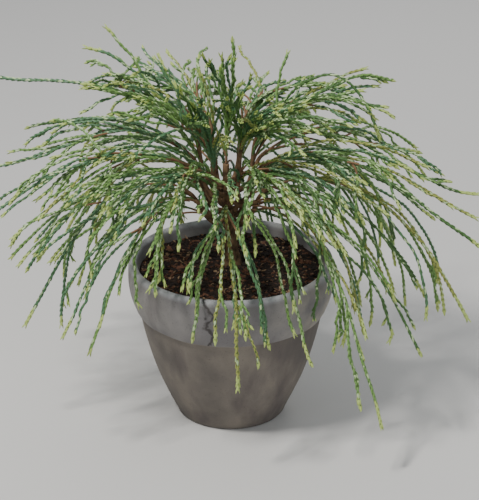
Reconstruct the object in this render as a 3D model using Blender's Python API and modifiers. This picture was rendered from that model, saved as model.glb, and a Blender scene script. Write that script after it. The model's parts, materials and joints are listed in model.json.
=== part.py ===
"""Potted whipcord western red cedar: a clay pot filled with bark compost, a short trunk, its
boughs, and masses of long cord-like shoots that arch out and hang over the rim.

Metres, +Z up. The origin is the centre of the pot's flat underside, and the front faces -Y.
Azimuths are degrees round the crown's centre line: 0 is +X, 90 the back and 270 the front.
"""

import math
import random
from dataclasses import dataclass

import bmesh
import bpy
from mathutils import Vector

MM = 0.001

# Pot: radii and heights of its turned outline
POT_HEIGHT = 174 * MM
FOOT_RADIUS = 59 * MM
FOOT_ROUND = 4 * MM
RIM_RADIUS = 108 * MM
COLLAR_FOOT_HEIGHT = 119 * MM
COLLAR_FOOT_RADIUS = 99.5 * MM
COLLAR_STEP = 3 * MM
COLLAR_BULGE = 4 * MM
BODY_BULGE = 5 * MM
WALL = 9 * MM
POT_FLOOR = 12 * MM
POT_STEPS = 40

# Compost: a filling with an uneven top, and a level seat for the trunk
SOIL_EDGE_HEIGHT = 160 * MM
SOIL_CROWN_HEIGHT = 166 * MM
SOIL_SEAT_RADIUS = 14 * MM
SOIL_RELIEF = 1.6 * MM
SOIL_RINGS = 5

# Trunk: from its flat cut on the compost to its tip
TRUNK_FOOT = Vector((1 * MM, 3 * MM, 0))
TRUNK_TOP_HEIGHT = 278 * MM
TRUNK_FLARE_RADIUS = 11 * MM
TRUNK_RADIUS = 6.5 * MM
TRUNK_TIP_RADIUS = 3.2 * MM
CROWN_X = -5 * MM
CROWN_Y = 2 * MM

# Limbs and shoots
GAP = 0.3 * MM
BOUGH_RADIUS = 2.4 * MM
BOUGH_TIP_RADIUS = 2.0 * MM
BOUGH_LEAN = 12
BOUGH_STAGGER = 8 * MM
BOUGH_POINTS = 5
STEM_RADIUS = 3.0 * MM
SHOOT_RADIUS = 2.8 * MM
SHOOT_TIP_RADIUS = 1.7 * MM
SHOOT_SWELL = 0.09
SHOOT_POINTS = 8
FORK_POINTS = 4
START_HANDLE = 0.42
END_HANDLE = 0.32
# Straight ends of a bough and of a stem, so that the flat faces at a joint are square
LEAD = 3 * MM
SCALE_LENGTH = 8 * MM
SCALE_WIDTH = 3.6 * MM
SCALE_THICKNESS = 2.0 * MM
SCALE_LEAN = 26
SCALE_PLACE = 0.8
FORK_CHANCE = 0.28

# The crown is less deep in front than at its sides, and its top falls to the right and the back
FRONT_SHORTER = 0.24
FALL_TO_RIGHT = 16 * MM
FALL_TO_BACK = 16 * MM
LOW_FRONT_RISE = 16 * MM

# Room that a mass keeps clear of its neighbours, the limbs, the pot and the ground
SPACE_MARGIN = 3.6 * MM
POT_MARGIN = 5 * MM
LOWEST_TIP = 30 * MM
SAMPLES = 40
SEED = 1907


@dataclass(frozen=True)
class Tier:
    """One level of the crown: where its boughs leave the trunk, and where its shoots end."""

    name: str
    count: int
    first_azimuth: float
    trunk_height: float
    bough_reach: float
    bough_height: float
    bough_pitch: float
    inner_radius: float
    reach: tuple
    height: tuple
    droop: tuple
    side_shoots: int


@dataclass(frozen=True)
class Tip:
    """The end of a main shoot: how far out, in which direction, how high, and its pitch."""

    reach: float
    azimuth: float
    height: float
    dip: float
    lift: float = 0.0
    bow: float = 1.0


LOW = Tier(
    name="low",
    count=8,
    first_azimuth=0,
    trunk_height=210 * MM,
    bough_reach=42 * MM,
    bough_height=250 * MM,
    bough_pitch=32,
    inner_radius=38 * MM,
    reach=(165 * MM, 240 * MM),
    height=(105 * MM, 178 * MM),
    droop=(24, 44),
    side_shoots=4,
)
MIDDLE = Tier(
    name="middle",
    count=8,
    first_azimuth=22.5,
    trunk_height=229 * MM,
    bough_reach=44 * MM,
    bough_height=286 * MM,
    bough_pitch=32,
    inner_radius=38 * MM,
    reach=(175 * MM, 250 * MM),
    height=(225 * MM, 305 * MM),
    droop=(20, 42),
    side_shoots=4,
)
UPPER = Tier(
    name="upper",
    count=6,
    first_azimuth=0,
    trunk_height=248 * MM,
    bough_reach=36 * MM,
    bough_height=316 * MM,
    bough_pitch=52,
    inner_radius=30 * MM,
    reach=(90 * MM, 180 * MM),
    height=(328 * MM, 376 * MM),
    droop=(6, 40),
    side_shoots=4,
)
TOP = Tier(
    name="top",
    count=1,
    first_azimuth=90,
    trunk_height=TRUNK_TOP_HEIGHT,
    bough_reach=0,
    bough_height=TRUNK_TOP_HEIGHT,
    bough_pitch=88,
    inner_radius=0,
    reach=(14 * MM, 42 * MM),
    height=(345 * MM, 400 * MM),
    droop=(0, 12),
    side_shoots=4,
)
TIERS = (LOW, MIDDLE, UPPER, TOP)

# Main shoots of each mass, in the order of the masses round the tier. The first is its stem.
MAIN_TIPS = {
    "low": (
        (Tip(254 * MM, 351, 123 * MM, -68),),
        (Tip(235 * MM, 40, 140 * MM, -62),),
        (Tip(225 * MM, 95, 125 * MM, -66),),
        (Tip(232 * MM, 140, 140 * MM, -62),),
        (Tip(213 * MM, 193, 120 * MM, -62), Tip(213 * MM, 176, 154 * MM, -55)),
        (Tip(178 * MM, 220, 122 * MM, -70), Tip(196 * MM, 213, 136 * MM, -66)),
        (Tip(152 * MM, 275, 100 * MM, -82), Tip(138 * MM, 256, 146 * MM, -80)),
        (Tip(218 * MM, 316, 57 * MM, -66), Tip(176 * MM, 322, 112 * MM, -66)),
    ),
    "middle": (
        (Tip(266 * MM, 8, 230 * MM, -8), Tip(222 * MM, 22, 258 * MM, -22)),
        (Tip(228 * MM, 62, 248 * MM, -30),),
        (Tip(222 * MM, 118, 252 * MM, -30),),
        (Tip(256 * MM, 174, 264 * MM, -4), Tip(228 * MM, 158, 286 * MM, -25)),
        (Tip(248 * MM, 194, 246 * MM, -34), Tip(232 * MM, 205, 240 * MM, -36)),
        (Tip(158 * MM, 241, 282 * MM, -42),),
        (Tip(156 * MM, 298, 280 * MM, -42),),
        (Tip(266 * MM, 345, 216 * MM, -34), Tip(258 * MM, 352, 236 * MM, -26)),
    ),
    "upper": (
        (
            Tip(140 * MM, 8, 352 * MM, 12, 40),
            Tip(158 * MM, 352, 320 * MM, -70, 88, 2.0),
            Tip(68 * MM, 22, 390 * MM, 50, 60),
        ),
        (Tip(118 * MM, 48, 340 * MM, 22, 40),),
        (Tip(112 * MM, 140, 348 * MM, -14, 60),),
        (
            Tip(254 * MM, 166, 352 * MM, 4),
            Tip(127 * MM, 163, 414 * MM, 42, 30),
            Tip(140 * MM, 176, 403 * MM, 12, 50),
        ),
        (Tip(142 * MM, 232, 334 * MM, -24),),
        (Tip(132 * MM, 304, 334 * MM, -24),),
    ),
    "top": ((Tip(8 * MM, 0, 412 * MM, 96), Tip(26 * MM, 175, 378 * MM, 70)),),
}


def material(name, colour, roughness):
    """A plain Principled material, given as sRGB-like linear values."""
    made = bpy.data.materials.new(name)
    made.use_nodes = True
    shader = made.node_tree.nodes["Principled BSDF"]
    shader.inputs["Base Color"].default_value = (*colour, 1)
    shader.inputs["Roughness"].default_value = roughness
    shader.inputs["Metallic"].default_value = 0
    return made


def new_collection(name):
    """A collection in the scene."""
    made = bpy.data.collections.new(name)
    bpy.context.scene.collection.children.link(made)
    return made


def turned(name, profile, steps):
    """A solid turned round +Z from a profile of (radius, height), listed down its outer side."""
    outline = bpy.data.meshes.new(name)
    points = [(radius, 0, height) for radius, height in profile]
    edges = [(i, i + 1) for i in range(len(points) - 1)]
    outline.from_pydata(points, edges, [])
    made = bpy.data.objects.new(name, outline)
    screw = made.modifiers.new("turn", "SCREW")
    screw.steps = steps
    screw.render_steps = steps
    screw.use_merge_vertices = True
    screw.merge_threshold = 0.00005
    return made


def as_mesh(source, weld=0.00001):
    """A mesh object in place of a curve or a modified object, with its caps welded."""
    graph = bpy.context.evaluated_depsgraph_get()
    mesh = bpy.data.meshes.new_from_object(source.evaluated_get(graph))
    shape = bmesh.new()
    shape.from_mesh(mesh)
    bmesh.ops.remove_doubles(shape, verts=shape.verts, dist=weld)
    shape.to_mesh(mesh)
    shape.free()
    name, home = source.name, source.users_collection[0]
    bpy.data.objects.remove(source)
    made = bpy.data.objects.new(name, mesh)
    home.objects.link(made)
    return made


def rod(name, points, radii, home, section=None, sides=6):
    """A tapering rod along points, round or with the section of a flat curve."""
    curve = bpy.data.curves.new(name, "CURVE")
    curve.dimensions = "3D"
    curve.use_fill_caps = True
    if section:
        curve.bevel_mode = "OBJECT"
        curve.bevel_object = section
    else:
        curve.bevel_depth = 1
        curve.bevel_resolution = (sides - 4) // 2
    spline = curve.splines.new("POLY")
    spline.points.add(len(points) - 1)
    for knot, point, radius in zip(spline.points, points, radii):
        knot.co = (*point, 1)
        knot.radius = radius
    made = bpy.data.objects.new(name, curve)
    home.objects.link(made)
    return as_mesh(made)


def three_sided(home):
    """The section of a shoot: a triangle whose corners are one unit from its middle."""
    curve = bpy.data.curves.new("shoot_section", "CURVE")
    curve.dimensions = "2D"
    spline = curve.splines.new("POLY")
    spline.points.add(2)
    spline.use_cyclic_u = True
    for side, knot in enumerate(spline.points):
        angle = -2 * math.pi * side / 3
        knot.co = (math.cos(angle), math.sin(angle), 0, 1)
    made = bpy.data.objects.new("shoot_section", curve)
    made.hide_render = True
    home.objects.link(made)
    return made


def heading(azimuth, pitch):
    """The unit vector that points along an azimuth and a pitch above the horizon."""
    turn, rise = math.radians(azimuth), math.radians(pitch)
    return Vector((math.cos(rise) * math.cos(turn), math.cos(rise) * math.sin(turn), math.sin(rise)))


def crown_point(reach, azimuth, height):
    """A point at a distance, an azimuth and a height round the crown's centre line."""
    turn = math.radians(azimuth)
    return Vector((CROWN_X + reach * math.cos(turn), CROWN_Y + reach * math.sin(turn), height))


def polar(point):
    """The distance and azimuth of a point round the crown's centre line."""
    x, y = point.x - CROWN_X, point.y - CROWN_Y
    return math.hypot(x, y), math.degrees(math.atan2(y, x))


def mix(low_high, share):
    """The value that lies at a share of the way through a range."""
    low, high = low_high
    return low + (high - low) * share


class Arch:
    """A smooth shoot from a root to a tip, with the directions that it leaves and ends in."""

    def __init__(self, root, start, tip, end, bow=1.0):
        span = (tip - root).length * bow
        self.knots = (root, root + start * span * START_HANDLE, tip - end * span * END_HANDLE, tip)

    def at(self, share):
        """The point at a share of the way along."""
        rest = 1 - share
        a, b, c, d = self.knots
        return a * rest**3 + b * 3 * rest**2 * share + c * 3 * rest * share**2 + d * share**3

    def along(self, share):
        """The direction at a share of the way along."""
        step = 0.01
        return (self.at(min(share + step, 1)) - self.at(max(share - step, 0))).normalized()

    def points(self, count):
        """Points from the root to the tip."""
        return [self.at(i / (count - 1)) for i in range(count)]

    def stretched(self, count, before=True, after=False):
        """Points as above, with a straight lead added at the root and, if asked, at the tip."""
        line = self.points(count)
        if before:
            line.insert(0, line[0] - self.along(0) * LEAD)
        if after:
            line.append(line[-1] + self.along(1) * LEAD)
        return line

    def seat(self, share):
        """The middle, at a share of the way along, of the straight-sided rod made of the shoot."""
        place = share * (SHOOT_POINTS - 1)
        knot = min(int(place), SHOOT_POINTS - 2)
        line = self.points(SHOOT_POINTS)
        return line[knot].lerp(line[knot + 1], place - knot)


def low_ceiling(reach):
    """The surface between the low and the middle masses."""
    return 250 * MM + 0.7 * reach - 3.6 * reach**2


def middle_ceiling(reach):
    """The surface between the middle and the upper masses."""
    return 285 * MM + 0.5 * reach - 2.0 * reach**2


def top_cone(height):
    """The radius of the upright cone that the top mass keeps to."""
    return 12 * MM + 0.32 * max(0, height - 290 * MM)


def azimuth_of(tier, index):
    """The azimuth of a mass round its tier."""
    return tier.first_azimuth + 360 / tier.count * index


def keeps_to_space(tier, index, point):
    """Whether a point lies in a mass's own space, clear of its bounds."""
    reach, azimuth = polar(point)
    below = {"low": low_ceiling, "middle": middle_ceiling}.get(tier.name)
    above = {"middle": low_ceiling, "upper": middle_ceiling}.get(tier.name)
    if below and point.z > below(reach) - SPACE_MARGIN:
        return False
    if above and point.z < above(reach) + SPACE_MARGIN:
        return False
    if tier is TOP:
        return reach < top_cone(point.z) - SPACE_MARGIN
    if reach < tier.inner_radius or (tier is UPPER and reach < top_cone(point.z) + SPACE_MARGIN):
        return False
    aside = abs((azimuth - azimuth_of(tier, index) + 180) % 360 - 180)
    return reach * math.sin(math.radians(180 / tier.count - aside)) > SPACE_MARGIN


def clears_pot(point):
    """Whether a point is above the compost's rim or outside the pot, and off the ground."""
    outside = math.hypot(point.x, point.y) > RIM_RADIUS + POT_MARGIN
    return point.z > LOWEST_TIP and (outside or point.z > POT_HEIGHT + POT_MARGIN)


def fits(tier, index, arch):
    """Whether a whole shoot keeps to its mass's space and clears the pot."""
    return all(keeps_to_space(tier, index, p) and clears_pot(p) for p in arch.points(SAMPLES))


def trunk_line(height):
    """The trunk's middle at a height. It leans a little towards the crown's centre line."""
    foot = SOIL_CROWN_HEIGHT + GAP
    share = (height - foot) / (TRUNK_TOP_HEIGHT - foot)
    lean = share * share * (3 - 2 * share)
    top = Vector((CROWN_X, CROWN_Y, 0))
    place = TRUNK_FOOT.lerp(top, lean)
    return Vector((place.x, place.y, height))


def trunk_radius(height):
    """The trunk's radius at a height, with its root flare and taper."""
    foot = SOIL_CROWN_HEIGHT + GAP
    share = (height - foot) / (TRUNK_TOP_HEIGHT - foot)
    flare = (TRUNK_FLARE_RADIUS - TRUNK_RADIUS) * math.exp(-12 * share)
    return mix((TRUNK_RADIUS, TRUNK_TIP_RADIUS), share) + flare


def make_pot(home, clay):
    """The pot: a tapering body that swells a little, under a collar that stands proud of it."""
    body_top = COLLAR_FOOT_HEIGHT - COLLAR_STEP
    body_top_radius = COLLAR_FOOT_RADIUS - COLLAR_STEP
    inner_floor_radius = FOOT_RADIUS - WALL / 3
    inner_rim_radius = RIM_RADIUS - WALL
    lip = WALL / 2
    profile = [(0, POT_FLOOR), (inner_floor_radius, POT_FLOOR)]
    profile += [(mix((inner_floor_radius, inner_rim_radius), 0.72), COLLAR_FOOT_HEIGHT)]
    for turn in range(180, -1, -45):
        angle = math.radians(turn)
        lip_height = POT_HEIGHT - lip + lip * math.sin(angle)
        profile.append((RIM_RADIUS - lip + lip * math.cos(angle), lip_height))
    for share in (0.66, 0.33, 0):
        radius = mix((COLLAR_FOOT_RADIUS, RIM_RADIUS), share)
        swell = COLLAR_BULGE * math.sin(math.pi * share)
        profile.append((radius + swell, mix((COLLAR_FOOT_HEIGHT, POT_HEIGHT - lip), share)))
    for share in (1, 0.8, 0.6, 0.4, 0.2):
        radius = mix((FOOT_RADIUS, body_top_radius), share)
        swell = BODY_BULGE * math.sin(math.pi * share)
        profile.append((radius + swell, mix((FOOT_ROUND, body_top), share)))
    profile += [(FOOT_RADIUS, FOOT_ROUND), (FOOT_RADIUS - FOOT_ROUND, 0), (0, 0)]
    pot = turned("pot", profile, POT_STEPS)
    home.objects.link(pot)
    pot = as_mesh(pot)
    pot.data.materials.append(clay)
    pot.data.shade_smooth()
    pot.data.set_sharp_from_angle(angle=math.radians(35))
    return pot


def pot_inner_radius(height):
    """The radius of the pot's inside at a height."""
    floor_radius, rim_radius = FOOT_RADIUS - WALL / 3, RIM_RADIUS - WALL
    waist_radius = mix((floor_radius, rim_radius), 0.72)
    if height < COLLAR_FOOT_HEIGHT:
        share = (height - POT_FLOOR) / (COLLAR_FOOT_HEIGHT - POT_FLOOR)
        return mix((floor_radius, waist_radius), share)
    share = (height - COLLAR_FOOT_HEIGHT) / (POT_HEIGHT - WALL / 2 - COLLAR_FOOT_HEIGHT)
    return mix((waist_radius, rim_radius), share)


def make_soil(home, compost):
    """The compost: it fills the pot, rises to a low mound, and is level under the trunk."""
    clear = 2.5 * GAP
    edge_radius = pot_inner_radius(SOIL_EDGE_HEIGHT) - clear
    profile = [(0, SOIL_CROWN_HEIGHT), (SOIL_SEAT_RADIUS, SOIL_CROWN_HEIGHT)]
    for ring in range(1, SOIL_RINGS + 1):
        share = ring / SOIL_RINGS
        radius = mix((SOIL_SEAT_RADIUS, edge_radius), share)
        profile.append((radius, mix((SOIL_CROWN_HEIGHT, SOIL_EDGE_HEIGHT), share**1.5)))
    profile.append((pot_inner_radius(COLLAR_FOOT_HEIGHT) - clear, COLLAR_FOOT_HEIGHT))
    profile.append((pot_inner_radius(POT_FLOOR) - clear, POT_FLOOR + GAP))
    profile.append((0, POT_FLOOR + GAP))
    soil = turned("soil", profile, POT_STEPS)
    home.objects.link(soil)
    soil = as_mesh(soil)
    relief = random.Random(SEED)
    for vertex in soil.data.vertices:
        radius = math.hypot(vertex.co.x, vertex.co.y)
        on_top = vertex.co.z > SOIL_EDGE_HEIGHT - GAP
        if on_top and SOIL_SEAT_RADIUS * 1.1 < radius < edge_radius * 0.99:
            vertex.co.z += relief.uniform(-1, 1) * SOIL_RELIEF
    soil.data.materials.append(compost)
    soil.data.shade_smooth()
    return soil


def make_trunk(home, bark):
    """The trunk: a flat cut on the compost, a root flare, a taper and a slight lean."""
    foot = SOIL_CROWN_HEIGHT + GAP
    shares = (0, 0.04, 0.1, 0.2, 0.35, 0.5, 0.65, 0.8, 1)
    heights = [mix((foot, TRUNK_TOP_HEIGHT), share) for share in shares]
    points = [trunk_line(height) for height in heights]
    radii = [trunk_radius(height) for height in heights]
    trunk = rod("trunk", points, radii, home, sides=12)
    trunk.data.materials.append(bark)
    trunk.data.shade_smooth()
    return trunk


def bough_arch(tier, index):
    """The line of the bough that carries a mass, between its straight leads."""
    azimuth = azimuth_of(tier, index)
    height = tier.trunk_height + BOUGH_STAGGER * (index % 2)
    off = trunk_radius(height) + GAP + BOUGH_RADIUS * math.sin(math.radians(BOUGH_LEAN))
    start, end = heading(azimuth, BOUGH_LEAN), heading(azimuth, tier.bough_pitch)
    root = trunk_line(height) + heading(azimuth, 0) * off + start * LEAD
    tip = crown_point(tier.bough_reach, azimuth, tier.bough_height) - end * LEAD
    return Arch(root, start, tip, end)


def make_bough(home, bark, tier, index):
    """One tapering bough."""
    points = bough_arch(tier, index).stretched(BOUGH_POINTS, after=True)
    last = len(points) - 1
    radii = [mix((BOUGH_RADIUS, BOUGH_TIP_RADIUS), i / last) for i in range(last + 1)]
    bough = rod(f"{tier.name}_bough_{index + 1}", points, radii, home)
    bough.data.materials.append(bark)
    bough.data.shade_smooth()
    return bough


def stem_start(tier, index):
    """Where a mass's stem leaves its straight lead off its bough's tip or the trunk's, and its way."""
    if tier is TOP:
        return trunk_line(TRUNK_TOP_HEIGHT) + Vector((0, 0, GAP + LEAD)), Vector((0, 0, 1))
    way = heading(azimuth_of(tier, index), tier.bough_pitch)
    return bough_arch(tier, index).at(1) + way * (LEAD + GAP + LEAD), way


def main_arch(root, way, tip, spread=0.35):
    """A main shoot to a tip that the crown's outline needs."""
    start = (way + heading(tip.azimuth, tip.lift) * spread).normalized()
    end = heading(tip.azimuth, tip.dip)
    return Arch(root, start, crown_point(tip.reach, tip.azimuth, tip.height), end, tip.bow)


def side_arch(tier, index, stem, rule, place):
    """A side shoot that leaves the stem and ends somewhere in the mass's share of the crown."""
    root_share = rule.uniform(0.03, 0.42)
    root = stem.seat(root_share)
    azimuth = azimuth_of(tier, index) + 180 / tier.count * 0.92 * place
    front = max(0, -math.sin(math.radians(azimuth)))
    reach = mix(tier.reach, rule.random()) * (1 - FRONT_SHORTER * front)
    way = heading(azimuth, 0)
    height = mix(tier.height, rule.random()) - FALL_TO_RIGHT * way.x - FALL_TO_BACK * way.y
    tip = crown_point(reach, azimuth, height + LOW_FRONT_RISE * front * (tier is LOW))
    ahead = tip - root
    turn = math.degrees(math.atan2(ahead.y, ahead.x))
    pitch = math.degrees(math.asin(ahead.z / ahead.length))
    droop = mix(tier.droop, rule.random())
    start = (stem.along(root_share) * 0.5 + heading(turn, pitch + droop)).normalized()
    return Arch(root, start, tip, heading(azimuth + rule.uniform(-12, 12), pitch - droop))


def fork_arch(shoot, rule):
    """A short shoot that forks off a longer one and ends beside it."""
    share = rule.uniform(0.55, 0.72)
    root, way = shoot.seat(share), shoot.along(share)
    length = (shoot.at(1) - root).length * rule.uniform(0.6, 0.85)
    side = way.cross(Vector((0, 0, 1))).normalized() * rule.choice((-1, 1))
    end = (shoot.along(1) + side * rule.uniform(0.1, 0.25)).normalized()
    tip = root + (way + end + side * rule.uniform(0.25, 0.45)).normalized() * length
    return Arch(root, (way + side * 0.5).normalized(), tip, end)


def shoots_of(tier, index):
    """The arches of one mass: its main shoots, side shoots and forks, by a seeded rule."""
    rule = random.Random(SEED + 100 * TIERS.index(tier) + index)
    root, way = stem_start(tier, index)
    tips = MAIN_TIPS[tier.name][index]
    stem = main_arch(root, way, tips[0], spread=0)
    mains = [main_arch(stem.seat(0.04), way, tip) for tip in tips[1:]]
    shoots = [stem] + [arch for arch in mains if fits(tier, index, arch)]
    places = [(2 * i + 1) / tier.side_shoots - 1 for i in range(tier.side_shoots)]
    for place in places:
        for _ in range(30):
            arch = side_arch(tier, index, stem, rule, place + rule.uniform(-0.12, 0.12))
            if fits(tier, index, arch):
                shoots.append(arch)
                break
    forks = []
    for shoot in shoots:
        arch = fork_arch(shoot, rule)
        if rule.random() < FORK_CHANCE and fits(tier, index, arch):
            forks.append(arch)
    return shoots, forks


def shoot_radii(count, root_radius):
    """The radii along a shoot: swelling a little at every other point, and narrow at the tip."""
    radii = [mix((root_radius, SHOOT_RADIUS), i / (count - 1)) for i in range(count)]
    radii = [r * (1 + SHOOT_SWELL * (-1) ** i) for i, r in enumerate(radii)]
    radii[-1] = SHOOT_TIP_RADIUS
    return radii


def make_scale(home, shoot, share, side):
    """One scale leaf: eight faces, its root sunk in the shoot and its point standing out."""
    made = bpy.data.objects.new("scale", bpy.data.meshes.new("scale"))
    shape = bmesh.new()
    bmesh.ops.create_uvsphere(shape, u_segments=4, v_segments=2, radius=0.5)
    bmesh.ops.scale(shape, vec=(SCALE_WIDTH, SCALE_THICKNESS, SCALE_LENGTH), verts=shape.verts)
    shape.to_mesh(made.data)
    shape.free()
    way = shoot.along(share)
    out = way.cross(Vector((0, 0, 1))).normalized() * side
    lean = math.radians(SCALE_LEAN)
    point = (way * math.cos(lean) + out * math.sin(lean)).normalized()
    made.rotation_mode = "QUATERNION"
    made.rotation_quaternion = point.to_track_quat("Z", "Y")
    made.location = shoot.seat(share) + point * SCALE_LENGTH * 0.28
    home.objects.link(made)
    return made


def keep_outer_shell(mesh):
    """Keeps a mesh's largest closed surface, which fills sealed hollows and drops loose scraps."""
    shape = bmesh.new()
    shape.from_mesh(mesh)
    waiting, shells = set(shape.faces), []
    while waiting:
        shell, edge_of_search = set(), [waiting.pop()]
        while edge_of_search:
            face = edge_of_search.pop()
            shell.add(face)
            beside = {other for edge in face.edges for other in edge.link_faces} & waiting
            waiting -= beside
            edge_of_search += beside
        shells.append(shell)
    outer = max(shells, key=lambda shell: sum(face.calc_area() for face in shell))
    spare = [face for shell in shells if shell is not outer for face in shell]
    bmesh.ops.delete(shape, geom=spare, context="FACES")
    shape.to_mesh(mesh)
    shape.free()


def make_mass(home, green, section, tier, index):
    """One mass of foliage: its shoots and scale leaves, fused to its stem."""
    name = f"{tier.name}_foliage_{index + 1}"
    joined = new_collection("joined")
    shoots, forks = shoots_of(tier, index)
    points = shoots[0].stretched(SHOOT_POINTS)
    stem = rod(name, points, shoot_radii(len(points), STEM_RADIUS), home, section)
    for number, shoot in enumerate(shoots[1:]):
        radii = shoot_radii(SHOOT_POINTS, SHOOT_RADIUS)
        rod(f"shoot_{number}", shoot.points(SHOOT_POINTS), radii, joined, section)
    for number, fork in enumerate(forks):
        radii = shoot_radii(FORK_POINTS, SHOOT_RADIUS * 0.9)
        rod(f"fork_{number}", fork.points(FORK_POINTS), radii, joined, section)
    for number, shoot in enumerate(shoots):
        make_scale(joined, shoot, SCALE_PLACE, (-1) ** number)
    union = stem.modifiers.new("fuse", "BOOLEAN")
    union.operation = "UNION"
    union.operand_type = "COLLECTION"
    union.collection = joined
    union.solver = "EXACT"
    mass = as_mesh(stem, weld=0.0000001)
    keep_outer_shell(mass.data)
    for piece in list(joined.objects):
        bpy.data.objects.remove(piece)
    bpy.data.collections.remove(joined)
    mass.data.materials.clear()
    mass.data.materials.append(green)
    return mass


def main():
    for old in list(bpy.data.objects):
        bpy.data.objects.remove(old)
    plant = new_collection("potted_whipcord_cedar")
    guides = new_collection("guides")
    clay = material("grey_clay", (0.115, 0.1, 0.092), 0.8)
    compost = material("bark_compost", (0.045, 0.022, 0.014), 0.95)
    bark = material("cinnamon_bark", (0.2, 0.085, 0.035), 0.85)
    green = material("scale_foliage", (0.13, 0.23, 0.08), 0.6)
    section = three_sided(guides)
    make_pot(plant, clay)
    make_soil(plant, compost)
    make_trunk(plant, bark)
    for tier in TIERS:
        for index in range(tier.count):
            if tier is not TOP:
                make_bough(plant, bark, tier, index)
            make_mass(plant, green, section, tier, index)


if __name__ == "__main__":
    main()
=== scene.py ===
"""Looks of a potted whipcord western red cedar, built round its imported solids.

Metres, +Z up, the origin at the centre of the pot's flat underside, the front facing -Y.
The crown grows by the same seeded rule as the solids and is carried on to more shoots,
each one a cord of paired scale leaves round a thin twig.
"""

import json
import logging
import math
import random
from dataclasses import dataclass
from enum import Enum

import bpy
from mathutils import Euler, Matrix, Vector, noise

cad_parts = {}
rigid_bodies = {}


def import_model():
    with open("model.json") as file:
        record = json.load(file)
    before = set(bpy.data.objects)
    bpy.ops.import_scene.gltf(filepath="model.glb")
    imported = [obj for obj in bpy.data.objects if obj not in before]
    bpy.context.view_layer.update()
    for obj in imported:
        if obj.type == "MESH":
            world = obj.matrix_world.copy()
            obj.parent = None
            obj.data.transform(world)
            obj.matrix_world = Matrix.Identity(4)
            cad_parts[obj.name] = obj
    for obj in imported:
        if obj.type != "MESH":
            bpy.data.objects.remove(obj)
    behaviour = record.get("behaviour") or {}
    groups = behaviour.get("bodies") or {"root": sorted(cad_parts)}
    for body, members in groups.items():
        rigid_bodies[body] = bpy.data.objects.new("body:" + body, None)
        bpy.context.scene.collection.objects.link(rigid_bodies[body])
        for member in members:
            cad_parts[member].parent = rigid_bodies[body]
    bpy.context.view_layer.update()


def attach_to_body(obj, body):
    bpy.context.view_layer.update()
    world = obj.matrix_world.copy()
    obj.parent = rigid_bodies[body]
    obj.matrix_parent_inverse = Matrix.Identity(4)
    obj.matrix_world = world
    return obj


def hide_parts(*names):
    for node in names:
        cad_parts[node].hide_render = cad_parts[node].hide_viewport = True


LOG = logging.getLogger("cedar")
MM = 0.001
SEED = 1907
FINER_SEED = 7 * SEED
UP = Vector((0, 0, 1))

# Sizes that the solids share
POT_HEIGHT = 174 * MM
RIM_RADIUS = 108 * MM
COLLAR_FOOT_HEIGHT = 119 * MM
SOIL_CROWN_HEIGHT = 166 * MM
SOIL_SEAT_RADIUS = 14 * MM
TRUNK_FOOT = Vector((1 * MM, 3 * MM, 0))
TRUNK_TOP_HEIGHT = 278 * MM
TRUNK_FLARE_RADIUS = 11 * MM
TRUNK_FLARE_FALL = 12
TRUNK_RADIUS = 6.5 * MM
TRUNK_TIP_RADIUS = 3.2 * MM
CROWN_X = -5 * MM
CROWN_Y = 2 * MM
GAP = 0.3 * MM
BOUGH_RADIUS = 2.4 * MM
BOUGH_TIP_RADIUS = 2.0 * MM
BOUGH_LEAN = 12
BOUGH_STAGGER = 8 * MM
LEAD = 3 * MM

# The solids' rule of growth. Each ceiling is a height, a slope and a bend over the reach.
START_HANDLE = 0.42
END_HANDLE = 0.32
SHOOT_POINTS = 8
LOW_CEILING = (250 * MM, 0.7, -3.6)
MIDDLE_CEILING = (285 * MM, 0.5, -2.0)
TOP_CONE_RADIUS = 12 * MM
TOP_CONE_SLOPE = 0.32
TOP_CONE_HEIGHT = 290 * MM
SPACE_MARGIN = 3.6 * MM
POT_MARGIN = 5 * MM
LOWEST_TIP = 30 * MM
SAMPLES = 40
MAIN_ROOT = 0.04
SIDE_ROOTS = (0.03, 0.42)
SIDE_SPREAD = 0.92
SIDE_SHIFT = 0.12
SIDE_TRIES = 30
SIDE_START = 0.5
SIDE_END_TURN = 12
FRONT_SHORTER = 0.24
FALL_TO_RIGHT = 16 * MM
FALL_TO_BACK = 16 * MM
LOW_FRONT_RISE = 16 * MM
FORK_CHANCE = 0.28
FORK_ROOTS = (0.55, 0.72)
FORK_LENGTH = (0.6, 0.85)
FORK_START = 0.5
FORK_END = (0.1, 0.25)
FORK_SPREAD = (0.25, 0.45)

# Finer growth of the crown
FRONT_THINNER = 0.5
SECTOR_OVERLAP = 1.2
FINER_SHIFT = 0.3
FINER_TRIES = 12
FINER_REACH = (0.74, 1.03)
ON_BOUGH = 0.5
BOUGH_ROOTS = (0.4, 1)
STEM_ROOTS = (0, 0.42)
FINER_FORKS = (0.64, 0.3, 0.06)
STEM_BARE = 0.07
SIDE_BARE = (0, 0.04, 0.08, 0.2)
STEM_STOUT = 1.1
SIDE_STOUT = 1.0
FORK_STOUT = 0.92
SOLID_FORK_STOUT = 0.95
TIP_SHARE = 0.93
TIP_SHIFT = 0.06

# The wander of a cord: its points, how far it strays, and the beats and sizes of its waves
WHIP_STEP = 7 * MM
LEAST_POINTS = 6
LENGTH_POINTS = 9
WANDER = 1.4 * MM
WANDER_RISE = 3
SWAY_WAVES = ((9, 1.0), (21, 0.5))
NOD_WAVES = ((8, 1.0), (19, 0.5))
NOD_SHARE = 0.7


@dataclass(frozen=True)
class Tier:
    """One level of the crown: its boughs, where its shoots end, and how many shoots a mass has."""

    name: str
    count: int
    first_azimuth: float
    trunk_height: float
    bough_reach: float
    bough_height: float
    bough_pitch: float
    inner_radius: float
    reach: tuple[float, float]
    height: tuple[float, float]
    droop: tuple[float, float]
    side_shoots: int
    finer_shoots: int


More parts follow.
